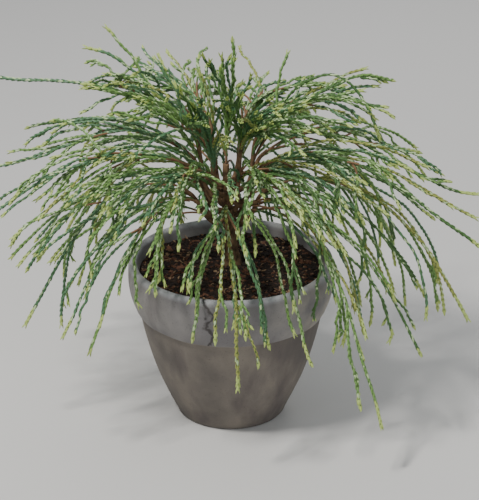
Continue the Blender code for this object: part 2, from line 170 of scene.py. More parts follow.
@dataclass(frozen=True)
class Tip:
    """The end of a main shoot: how far out, in which direction, how high, and its pitch."""

    reach: float
    azimuth: float
    height: float
    dip: float
    lift: float = 0.0
    bow: float = 1.0


LOW = Tier(
    name="low",
    count=8,
    first_azimuth=0,
    trunk_height=210 * MM,
    bough_reach=42 * MM,
    bough_height=250 * MM,
    bough_pitch=32,
    inner_radius=38 * MM,
    reach=(165 * MM, 240 * MM),
    height=(105 * MM, 178 * MM),
    droop=(24, 44),
    side_shoots=4,
    finer_shoots=10,
)
MIDDLE = Tier(
    name="middle",
    count=8,
    first_azimuth=22.5,
    trunk_height=229 * MM,
    bough_reach=44 * MM,
    bough_height=286 * MM,
    bough_pitch=32,
    inner_radius=38 * MM,
    reach=(175 * MM, 250 * MM),
    height=(225 * MM, 305 * MM),
    droop=(20, 42),
    side_shoots=4,
    finer_shoots=12,
)
UPPER = Tier(
    name="upper",
    count=6,
    first_azimuth=0,
    trunk_height=248 * MM,
    bough_reach=36 * MM,
    bough_height=316 * MM,
    bough_pitch=52,
    inner_radius=30 * MM,
    reach=(90 * MM, 180 * MM),
    height=(328 * MM, 376 * MM),
    droop=(6, 40),
    side_shoots=4,
    finer_shoots=19,
)
TOP = Tier(
    name="top",
    count=1,
    first_azimuth=90,
    trunk_height=TRUNK_TOP_HEIGHT,
    bough_reach=0,
    bough_height=TRUNK_TOP_HEIGHT,
    bough_pitch=88,
    inner_radius=0,
    reach=(14 * MM, 42 * MM),
    height=(345 * MM, 400 * MM),
    droop=(0, 12),
    side_shoots=4,
    finer_shoots=7,
)
TIERS = (LOW, MIDDLE, UPPER, TOP)

# Main shoots of each mass, in the order of the masses round the tier. The first is its stem.
MAIN_TIPS = {
    "low": (
        (Tip(254 * MM, 351, 123 * MM, -68),),
        (Tip(235 * MM, 40, 140 * MM, -62),),
        (Tip(225 * MM, 95, 125 * MM, -66),),
        (Tip(232 * MM, 140, 140 * MM, -62),),
        (Tip(213 * MM, 193, 120 * MM, -62), Tip(213 * MM, 176, 154 * MM, -55)),
        (Tip(178 * MM, 220, 122 * MM, -70), Tip(196 * MM, 213, 136 * MM, -66)),
        (Tip(152 * MM, 275, 100 * MM, -82), Tip(138 * MM, 256, 146 * MM, -80)),
        (Tip(218 * MM, 316, 57 * MM, -66), Tip(176 * MM, 322, 112 * MM, -66)),
    ),
    "middle": (
        (Tip(266 * MM, 8, 230 * MM, -8), Tip(222 * MM, 22, 258 * MM, -22)),
        (Tip(228 * MM, 62, 248 * MM, -30),),
        (Tip(222 * MM, 118, 252 * MM, -30),),
        (Tip(256 * MM, 174, 264 * MM, -4), Tip(228 * MM, 158, 286 * MM, -25)),
        (Tip(248 * MM, 194, 246 * MM, -34), Tip(232 * MM, 205, 240 * MM, -36)),
        (Tip(158 * MM, 241, 282 * MM, -42),),
        (Tip(156 * MM, 298, 280 * MM, -42),),
        (Tip(266 * MM, 345, 216 * MM, -34), Tip(258 * MM, 352, 236 * MM, -26)),
    ),
    "upper": (
        (
            Tip(140 * MM, 8, 352 * MM, 12, 40),
            Tip(158 * MM, 352, 320 * MM, -70, 88, 2.0),
            Tip(68 * MM, 22, 390 * MM, 50, 60),
        ),
        (Tip(118 * MM, 48, 340 * MM, 22, 40),),
        (Tip(112 * MM, 140, 348 * MM, -14, 60),),
        (
            Tip(254 * MM, 166, 352 * MM, 4),
            Tip(127 * MM, 163, 414 * MM, 42, 30),
            Tip(140 * MM, 176, 403 * MM, 12, 50),
        ),
        (Tip(142 * MM, 232, 334 * MM, -24),),
        (Tip(132 * MM, 304, 334 * MM, -24),),
    ),
    "top": ((Tip(8 * MM, 0, 412 * MM, 96), Tip(26 * MM, 175, 378 * MM, 70)),),
}


class Green(Enum):
    """The foliage colours that a whole shoot may have."""

    MID = 0
    BLUE = 1
    DEEP = 2
    OLIVE = 3


GREEN_SHARES = (0.44, 0.26, 0.2, 0.1)


def heading(azimuth: float, pitch: float) -> Vector:
    """The unit vector that points along an azimuth and a pitch above the horizon, in degrees."""
    turn, rise = math.radians(azimuth), math.radians(pitch)
    return Vector((math.cos(rise) * math.cos(turn), math.cos(rise) * math.sin(turn), math.sin(rise)))


def crown_point(reach: float, azimuth: float, height: float) -> Vector:
    """A point at a distance, an azimuth and a height round the crown's centre line."""
    turn = math.radians(azimuth)
    return Vector((CROWN_X + reach * math.cos(turn), CROWN_Y + reach * math.sin(turn), height))


def mix(low_high: tuple[float, float], share: float) -> float:
    """The value that lies at a share of the way through a range."""
    low, high = low_high
    return low + (high - low) * share


def frontness(azimuth: float) -> float:
    """How far an azimuth faces the front, from 0 at the sides and behind to 1."""
    return max(0, -math.sin(math.radians(azimuth)))


def trunk_share(height: float) -> float:
    """The share of the way up the trunk at which a height lies."""
    foot = SOIL_CROWN_HEIGHT + GAP
    return (height - foot) / (TRUNK_TOP_HEIGHT - foot)


def trunk_line(height: float) -> Vector:
    """The trunk's middle at a height.

    Args:
        height: the height above the ground.

    Returns:
        The point, which eases from the trunk's foot to the crown's centre line.
    """
    share = trunk_share(height)
    lean = share * share * (3 - 2 * share)
    place = TRUNK_FOOT.lerp(Vector((CROWN_X, CROWN_Y, 0)), lean)
    return Vector((place.x, place.y, height))


def trunk_radius(height: float) -> float:
    """The trunk's radius at a height.

    Args:
        height: the height above the ground.

    Returns:
        The radius, with the trunk's taper and its root flare.
    """
    share = trunk_share(height)
    flare = (TRUNK_FLARE_RADIUS - TRUNK_RADIUS) * math.exp(-TRUNK_FLARE_FALL * share)
    return mix((TRUNK_RADIUS, TRUNK_TIP_RADIUS), share) + flare


def ceiling(shape: tuple[float, float, float], reach: float) -> float:
    """The height of a ceiling over a distance from the crown's centre line."""
    height, slope, bend = shape
    return height + slope * reach + bend * reach**2


class Arch:
    """A smooth shoot from a root to a tip, with the directions that it leaves and ends in."""

    def __init__(self, root: Vector, start: Vector, tip: Vector, end: Vector, bow: float = 1.0) -> None:
        """Sets the four knots of a cubic curve.

        Args:
            root: where the shoot begins.
            start: the direction in which it leaves.
            tip: where it ends.
            end: the direction in which it ends.
            bow: how strongly it bows, 1 for a plain arc.
        """
        span = (tip - root).length * bow
        self.knots = (root, root + start * span * START_HANDLE, tip - end * span * END_HANDLE, tip)

    def at(self, share: float) -> Vector:
        """The point at a share of the way along.

        Args:
            share: how far along it lies, from 0 to 1.

        Returns:
            The point.
        """
        rest = 1 - share
        a, b, c, d = self.knots
        return a * rest**3 + b * 3 * rest**2 * share + c * 3 * rest * share**2 + d * share**3

    def along(self, share: float) -> Vector:
        """The direction at a share of the way along."""
        step = 0.01
        return (self.at(min(share + step, 1)) - self.at(max(share - step, 0))).normalized()

    def points(self, count: int) -> list[Vector]:
        """Points from the root to the tip."""
        return [self.at(i / (count - 1)) for i in range(count)]

    def length(self) -> float:
        """The shoot's length, measured along a few straight steps."""
        line = self.points(LENGTH_POINTS)
        return sum((b - a).length for a, b in zip(line, line[1:]))

    def seat(self, share: float) -> Vector:
        """The middle of the solids' straight-sided rod at a share of the way along.

        Args:
            share: how far along it lies, from 0 to 1.

        Returns:
            The point.
        """
        place = share * (SHOOT_POINTS - 1)
        knot = min(int(place), SHOOT_POINTS - 2)
        line = self.points(SHOOT_POINTS)
        return line[knot].lerp(line[knot + 1], place - knot)


@dataclass
class Whip:
    """One cord of the crown.

    It has its line, its colour, the share of its length that is bare wood at its foot, its
    stoutness, and the share past which its leaves have the tip's colour.
    """

    line: list[Vector]
    green: Green
    bare: float
    stout: float
    tipped: float


@dataclass
class Mass:
    """One mass of the crown, which grows by the solids' rule and is carried on to more shoots."""

    tier: Tier
    index: int

    def __post_init__(self) -> None:
        """Turns the mass to its azimuth and sets its two seeded sources of random values."""
        number = 100 * TIERS.index(self.tier) + self.index
        self.azimuth = self.tier.first_azimuth + 360 / self.tier.count * self.index
        self.rule = random.Random(SEED + number)
        self.finer_rule = random.Random(FINER_SEED + number)

    def foliage_node(self) -> str:
        """The solid foliage node that the mass stands for."""
        return f"{self.tier.name}_foliage_{self.index + 1}"

    def bough_node(self) -> str:
        """The solid node of the bough that carries the mass."""
        return f"{self.tier.name}_bough_{self.index + 1}"

    def keeps_to_space(self, point: Vector) -> bool:
        """Whether a point lies in the mass's own space, clear of its bounds.

        Args:
            point: the point.

        Returns:
            True where it is between the mass's ceiling and floor and inside its sector.
        """
        x, y = point.x - CROWN_X, point.y - CROWN_Y
        reach, azimuth = math.hypot(x, y), math.degrees(math.atan2(y, x))
        low = ceiling(LOW_CEILING, reach)
        middle = ceiling(MIDDLE_CEILING, reach)
        below = {"low": low, "middle": middle}.get(self.tier.name)
        above = {"middle": low, "upper": middle}.get(self.tier.name)
        cone = TOP_CONE_RADIUS + TOP_CONE_SLOPE * max(0, point.z - TOP_CONE_HEIGHT)
        if below and point.z > below - SPACE_MARGIN:
            return False
        if above and point.z < above + SPACE_MARGIN:
            return False
        if self.tier is TOP:
            return reach < cone - SPACE_MARGIN
        if reach < self.tier.inner_radius or (self.tier is UPPER and reach < cone + SPACE_MARGIN):
            return False
        aside = abs((azimuth - self.azimuth + 180) % 360 - 180)
        return reach * math.sin(math.radians(180 / self.tier.count - aside)) > SPACE_MARGIN

    @staticmethod
    def clears_pot(point: Vector) -> bool:
        """Whether a point is above the compost or outside the pot, and off the ground."""
        outside = math.hypot(point.x, point.y) > RIM_RADIUS + POT_MARGIN
        return point.z > LOWEST_TIP and (outside or point.z > POT_HEIGHT + POT_MARGIN)

    def hangs_free(self, arch: Arch) -> bool:
        """Whether a whole shoot clears the pot."""
        return all(self.clears_pot(point) for point in arch.points(SAMPLES))

    def fits(self, arch: Arch) -> bool:
        """Whether a whole shoot keeps to the mass's space and clears the pot."""
        return all(self.keeps_to_space(p) and self.clears_pot(p) for p in arch.points(SAMPLES))

    def bough_arch(self) -> Arch:
        """The bough that carries the mass.

        Returns:
            Its line, between its straight leads.
        """
        tier = self.tier
        height = tier.trunk_height + BOUGH_STAGGER * (self.index % 2)
        off = trunk_radius(height) + GAP + BOUGH_RADIUS * math.sin(math.radians(BOUGH_LEAN))
        start, end = heading(self.azimuth, BOUGH_LEAN), heading(self.azimuth, tier.bough_pitch)
        root = trunk_line(height) + heading(self.azimuth, 0) * off + start * LEAD
        tip = crown_point(tier.bough_reach, self.azimuth, tier.bough_height) - end * LEAD
        return Arch(root, start, tip, end)

    def stem_start(self) -> tuple[Vector, Vector]:
        """The start of the mass's stem, past its bough's tip or the trunk's.

        Returns:
            The point and the direction.
        """
        if self.tier is TOP:
            return trunk_line(TRUNK_TOP_HEIGHT) + Vector((0, 0, GAP + LEAD)), UP.copy()
        way = heading(self.azimuth, self.tier.bough_pitch)
        return self.bough_arch().at(1) + way * (LEAD + GAP + LEAD), way

    @staticmethod
    def main_arch(root: Vector, way: Vector, tip: Tip, spread: float = 0.35) -> Arch:
        """A main shoot to a tip that the crown's outline needs.

        Args:
            root: where it begins.
            way: the direction of what carries it.
            tip: where it ends.
            spread: how far it turns at once towards its own azimuth.

        Returns:
            The shoot's line.
        """
        start = (way + heading(tip.azimuth, tip.lift) * spread).normalized()
        end = heading(tip.azimuth, tip.dip)
        return Arch(root, start, crown_point(tip.reach, tip.azimuth, tip.height), end, tip.bow)

    def side_arch(
        self,
        stem: Arch,
        rule: random.Random,
        place: float,
        roots: tuple[float, float] = SIDE_ROOTS,
        finer: bool = False,
    ) -> Arch:
        """A side shoot that leaves the stem and ends in the mass's share of the crown.

        Args:
            stem: the shoot that carries it.
            rule: the seeded source of its random values.
            place: where it ends across the mass, from -1 to 1.
            roots: the shares of the stem's length between which it leaves.
            finer: whether it is one of the shoots that the solids leave out.

        Returns:
            The shoot's line.
        """
        tier = self.tier
        root_share = rule.uniform(*roots)
        root = stem.seat(root_share)
        azimuth = self.azimuth + 180 / tier.count * SIDE_SPREAD * place
        front = frontness(azimuth)
        reach = mix(tier.reach, rule.random()) * (1 - FRONT_SHORTER * front)
        if finer:
            reach *= rule.uniform(*FINER_REACH)
        way = heading(azimuth, 0)
        height = mix(tier.height, rule.random()) - FALL_TO_RIGHT * way.x - FALL_TO_BACK * way.y
        tip = crown_point(reach, azimuth, height + LOW_FRONT_RISE * front * (tier is LOW))
        ahead = tip - root
        turn = math.degrees(math.atan2(ahead.y, ahead.x))
        pitch = math.degrees(math.asin(ahead.z / ahead.length))
        droop = mix(tier.droop, rule.random())
        start = (stem.along(root_share) * SIDE_START + heading(turn, pitch + droop)).normalized()
        end_turn = rule.uniform(-SIDE_END_TURN, SIDE_END_TURN)
        return Arch(root, start, tip, heading(azimuth + end_turn, pitch - droop))

    @staticmethod
    def fork_arch(shoot: Arch, rule: random.Random) -> Arch:
        """A short shoot that forks off a longer one and ends beside it.

        Args:
            shoot: the longer one.
            rule: the seeded source of its random values.

        Returns:
            The fork's line.
        """
        share = rule.uniform(*FORK_ROOTS)
        root, way = shoot.seat(share), shoot.along(share)
        length = (shoot.at(1) - root).length * rule.uniform(*FORK_LENGTH)
        side = way.cross(UP).normalized() * rule.choice((-1, 1))
        end = (shoot.along(1) + side * rule.uniform(*FORK_END)).normalized()
        tip = root + (way + end + side * rule.uniform(*FORK_SPREAD)).normalized() * length
        return Arch(root, (way + side * FORK_START).normalized(), tip, end)

    def solid_shoots(self) -> tuple[list[Arch], list[Arch]]:
        """Grows the shoots that the solids have.

        Returns:
            The main and side shoots, stem first, and the forks.
        """
        root, way = self.stem_start()
        tips = MAIN_TIPS[self.tier.name][self.index]
        stem = self.main_arch(root, way, tips[0], spread=0)
        mains = [self.main_arch(stem.seat(MAIN_ROOT), way, tip) for tip in tips[1:]]
        shoots = [stem] + [arch for arch in mains if self.fits(arch)]
        count = self.tier.side_shoots
        for place in [(2 * i + 1) / count - 1 for i in range(count)]:
            for _ in range(SIDE_TRIES):
                shift = self.rule.uniform(-SIDE_SHIFT, SIDE_SHIFT)
                arch = self.side_arch(stem, self.rule, place + shift)
                if self.fits(arch):
                    shoots.append(arch)
                    break
        forks = []
        for shoot in shoots:
            arch = self.fork_arch(shoot, self.rule)
            if self.rule.random() < FORK_CHANCE and self.fits(arch):
                forks.append(arch)
        return shoots, forks

    def finer_arches(self, stem: Arch) -> list[Arch]:
        """Grows side shoots beyond those of the solids, off the stem or off the bough itself.

        Args:
            stem: the mass's stem.

        Returns:
            The shoots that clear the pot.
        """
        rule = self.finer_rule
        count = self.tier.finer_shoots
        if self.tier is LOW:
            count = round(count * (1 - FRONT_THINNER * frontness(self.azimuth)))
        found = []
        for number in range(count):
            for _ in range(FINER_TRIES):
                place = (2 * number + 1) / count - 1 + rule.uniform(-FINER_SHIFT, FINER_SHIFT)
                on_bough = self.tier is not TOP and rule.random() < ON_BOUGH
                carrier, roots = (self.bough_arch(), BOUGH_ROOTS) if on_bough else (stem, STEM_ROOTS)
                arch = self.side_arch(carrier, rule, place * SECTOR_OVERLAP, roots, finer=True)
                if self.hangs_free(arch):
                    found.append(arch)
                    break
        return found

    def wandering_line(self, arch: Arch) -> list[Vector]:
        """Gives a shoot the slight wander of a real one, with its root held still.

        Args:
            arch: the shoot.

        Returns:
            The points of its line.
        """
        count = max(LEAST_POINTS, round(arch.length() / WHIP_STEP) + 1)
        phases = [self.finer_rule.uniform(0, 2 * math.pi) for _ in SWAY_WAVES + NOD_WAVES]
        line = []
        for number, point in enumerate(arch.points(count)):
            share = number / (count - 1)
            way = arch.along(share)
            side = way.cross(UP).normalized()
            lift = side.cross(way)
            far = min(1, share * WANDER_RISE) * WANDER
            sway = self.waves(SWAY_WAVES, phases[: len(SWAY_WAVES)], share)
            nod = self.waves(NOD_WAVES, phases[len(SWAY_WAVES) :], share)
            line.append(point + side * sway * far + lift * nod * far * NOD_SHARE)
        return line

    @staticmethod
    def waves(beats_and_sizes: tuple, phases: list[float], share: float) -> float:
        """The sum of a few waves at a share of the way along."""
        pairs = zip(beats_and_sizes, phases)
        return sum(size * math.sin(phase + beat * share) for (beat, size), phase in pairs)

    def new_whip(self, arch: Arch, green: Green, bare: float, stout: float) -> Whip:
        """Makes a cord along a shoot.

        Args:
            arch: the shoot.
            green: the cord's colour.
            bare: the share of its foot that is bare wood.
            stout: its stoutness, 1 for a common one.

        Returns:
            The cord.
        """
        line = self.wandering_line(arch)
        tipped = TIP_SHARE + self.finer_rule.uniform(-TIP_SHIFT, TIP_SHIFT)
        return Whip(line, green, bare, stout, tipped)

    def whips(self) -> list[Whip]:
        """Grows every cord of the mass.

        Returns:
            The cords, the stem's first.
        """
        rule = self.finer_rule
        shoots, forks = self.solid_shoots()
        stem = shoots[0]
        found = []
        for arch in shoots + self.finer_arches(stem):
            green = rule.choices(list(Green), GREEN_SHARES)[0]
            bare = STEM_BARE if arch is stem else rule.choice(SIDE_BARE)
            found.append(self.new_whip(arch, green, bare, STEM_STOUT if arch is stem else SIDE_STOUT))
            for _ in range(rule.choices((0, 1, 2), FINER_FORKS)[0]):
                fork = self.fork_arch(arch, rule)
                if self.hangs_free(fork):
                    found.append(self.new_whip(fork, green, 0, FORK_STOUT))
        found += [self.new_whip(fork, Green.MID, 0, SOLID_FORK_STOUT) for fork in forks]
        return found


@dataclass(frozen=True)
class Finish:
    """A plain matt finish: its colour is linear, as the shader takes it."""

    name: str
    colour: tuple[float, float, float]
    roughness: float = 0.6
    specular: float = 0.35

    def material(self) -> bpy.types.Material:
        """The finish as a material with one plain colour.

        Returns:
            The material.
        """
        made, shader = new_material(self.name, self.roughness, self.specular)
        shader.inputs["Base Color"].default_value = (*self.colour, 1)
        return made


GREEN_FINISHES = {
    Green.MID: Finish("leaf_mid", (0.15, 0.275, 0.072), 0.5),
    Green.BLUE: Finish("leaf_blue", (0.075, 0.175, 0.08), 0.5),
    Green.DEEP: Finish("leaf_deep", (0.065, 0.145, 0.04), 0.5),
    Green.OLIVE: Finish("leaf_olive", (0.28, 0.31, 0.075), 0.5),
}
# Painted highlight: a light whitish green laid on leaves, most often on those that face up.
PAINTED_HIGHLIGHT_FINISH = Finish("leaf_pale", (0.4, 0.52, 0.27), 0.45)
TIP_FINISH = Finish("leaf_tip", (0.4, 0.5, 0.14), 0.5)
TWIG_FINISH = Finish("twig_green", (0.1, 0.175, 0.055), 0.6)
STEM_FINISH = Finish("twig_brown", (0.2, 0.11, 0.055), 0.7)
FLOOR_FINISH = Finish("studio_pale", (0.62, 0.61, 0.59), 0.9, 0.1)


def new_material(name: str, roughness: float, specular: float) -> tuple:
    """Makes a material with its plain values set on its shader.

    Args:
        name: the material's name.
        roughness: how rough it is.
        specular: how strongly it mirrors light.

    Returns:
        The material and its shader node.
    """
    made = bpy.data.materials.new(name)
    made.use_nodes = True
    shader = made.node_tree.nodes["Principled BSDF"]
    shader.inputs["Roughness"].default_value = roughness
    shader.inputs["Specular IOR Level"].default_value = specular
    return made, shader


def link_object(name: str, data: bpy.types.ID) -> bpy.types.Object:
    """Makes an object in the scene.

    Args:
        name: the object's name.
        data: the mesh, light or camera that it shows.

    Returns:
        The object.
    """
    made = bpy.data.objects.new(name, data)
    bpy.context.scene.collection.objects.link(made)
    return made


def new_mesh_object(name: str, verts: list, faces: list) -> bpy.types.Object:
    """Makes a mesh object in the scene.

    Args:
        name: the object's name.
        verts: its points.
        faces: its faces, as lists of point numbers.

    Returns:
        The object.
    """
    mesh = bpy.data.meshes.new(name)
    mesh.from_pydata([tuple(v) for v in verts], [], faces)
    mesh.update()
    return link_object(name, mesh)


def turned_mesh(name: str, profile: list[tuple[float, float]], steps: int) -> bpy.types.Object:
    """Turns a closed solid round +Z.

    Args:
        name: the object's name.
        profile: its section as (radius, height), which starts and ends on the axis.
        steps: how many steps go round.

    Returns:
        The object.
    """
    verts = [Vector((0, 0, profile[0][1]))]
    faces = []
    inner = profile[1:-1]
    for radius, height in inner:
        for step in range(steps):
            turn = 2 * math.pi * step / steps
            verts.append(Vector((radius * math.cos(turn), radius * math.sin(turn), height)))
    verts.append(Vector((0, 0, profile[-1][1])))
    last = len(verts) - 1
    foot = 1 + (len(inner) - 1) * steps
    for step in range(steps):
        after = (step + 1) % steps
        faces.append((0, 1 + step, 1 + after))
        for ring in range(len(inner) - 1):
            a, b = 1 + ring * steps, 1 + (ring + 1) * steps
            faces.append((a + step, b + step, b + after, a + after))
        faces.append((last, foot + after, foot + step))
    return new_mesh_object(name, verts, faces)


def smooth(made: bpy.types.Object) -> None:
    """Shades every face of an object smooth."""
    made.data.polygons.foreach_set("use_smooth", [True] * len(made.data.polygons))


def attach(piece: bpy.types.Object, nodes: list[str]) -> None:
    """Puts a finished piece in place of its solids.

    Args:
        piece: the piece.
        nodes: the solid nodes that it stands for.
    """
    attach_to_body(piece, "root")
    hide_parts(*nodes)
    LOG.info("%s: %d faces", piece.name, len(piece.data.polygons))


class Tree:
    """A short way to write a node tree."""

    def __init__(self, tree: bpy.types.NodeTree) -> None:
        """Takes the tree to write in."""
        self.tree = tree

    def node(self, kind: str, *values: object, **settings: object) -> bpy.types.Node:
        """Adds a node.

        Args:
            kind: the node's type name.
            values: what feeds its first inputs in use: an output, a plain value, or None for neither.
            settings: the node's settings.

        Returns:
            The node.
        """
        made = self.tree.nodes.new(kind)
        for name, value in settings.items():
            setattr(made, name, value)
        usable = [socket for socket in made.inputs if socket.enabled]
        for socket, value in zip(usable, values):
            self.feed(socket, value)
        return made

    def feed(self, socket: bpy.types.NodeSocket, value: object) -> None:
        """Links an output to an input, or sets the input's own value."""
        if isinstance(value, bpy.types.NodeSocket):
            self.tree.links.new(value, socket)
        elif value is not None:
            socket.default_value = value

    def fill(self, node: bpy.types.Node, values: dict) -> bpy.types.Node:
        """Feeds a node's inputs by their names or numbers.

        Args:
            node: the node.
            values: what feeds each input.

        Returns:
            The same node.
        """
        for key, value in values.items():
            self.feed(node.inputs[key], value)
        return node

    def maths(self, operation: str, *values: object) -> bpy.types.NodeSocket:
        """The result of a sum, a product or a test of some values."""
        return self.node("ShaderNodeMath", *values, operation=operation).outputs[0]


# The attributes that the trees store and read, which a finished piece does without
STORED_NAMES = ("share", "bare", "size", "green", "tipped", "number", "luck")


class GrowthTree(Tree):
    """A geometry node tree with named inputs, which is run on an object to make a plain mesh."""

    def __init__(self, name: str, inputs: dict[str, str]) -> None:
        """Starts the tree.

        Args:
            name: its name.
            inputs: its inputs beside the geometry, each with its kind of socket.
        """
        super().__init__(bpy.data.node_groups.new(name, "GeometryNodeTree"))
        face = self.tree.interface
        face.new_socket("Geometry", in_out="INPUT", socket_type="NodeSocketGeometry")
        self.inputs = {}
        for label, kind in inputs.items():
            socket = face.new_socket(label, in_out="INPUT", socket_type="NodeSocket" + kind)
            self.inputs[label] = socket.identifier
        face.new_socket("Geometry", in_out="OUTPUT", socket_type="NodeSocketGeometry")
        self.given = self.node("NodeGroupInput").outputs

    def named(self, name: str, kind: str = "FLOAT") -> bpy.types.NodeSocket:
        """The value of a stored attribute."""
        return self.node("GeometryNodeInputNamedAttribute", name, data_type=kind).outputs[0]

    def stored(self, geometry: object, name: str, value: object, kind: str, domain: str) -> object:
        """Stores a value on each element of a geometry.

        Args:
            geometry: the geometry's output.
            name: the attribute's name.
            value: what is stored.
            kind: its data type.
            domain: the elements that it is stored on.

        Returns:
            The output of the geometry that carries it.
        """
        node = self.node("GeometryNodeStoreNamedAttribute", data_type=kind, domain=domain)
        return self.fill(node, {"Geometry": geometry, "Name": name, "Value": value}).outputs[0]

    def chance(self, low: object, high: object, seed: int) -> bpy.types.NodeSocket:
        """A random value between two bounds for each element."""
        node = self.node("FunctionNodeRandomValue", data_type="FLOAT")
        return self.fill(node, {2: low, 3: high, "Seed": seed}).outputs[1]

    def dressed(self, geometry: object, material: bpy.types.Material, pick: object = None) -> object:
        """Gives a material to the faces that a test picks, or to all of them."""
        node = self.node("GeometryNodeSetMaterial", geometry, pick)
        return self.fill(node, {"Material": material}).outputs[0]

    def finish(self, geometry: object) -> None:
        """Ends the tree with a geometry's output."""
        self.node("NodeGroupOutput", geometry)

    def grow(self, name: str, source: bpy.types.Object, settings: dict) -> bpy.types.Object:
        """Runs the tree on a new object that starts from another one's mesh.

        Args:
            name: the new object's name.
            source: the object whose mesh the tree starts from.
            settings: the values of the tree's inputs, by their labels.

        Returns:
            The new object, with a plain mesh of its own and no modifier.
        """
        made = link_object(name, source.data)
        modifier = made.modifiers.new("grow", "NODES")
        modifier.node_group = self.tree
        for label, value in settings.items():
            modifier[self.inputs[label]] = value
        graph = bpy.context.evaluated_depsgraph_get()
        mesh = bpy.data.meshes.new_from_object(made.evaluated_get(graph))
        made.modifiers.clear()
        for attribute in [a for a in mesh.attributes if a.name in STORED_NAMES]:
            mesh.attributes.remove(attribute)
        made.data = mesh
        return made


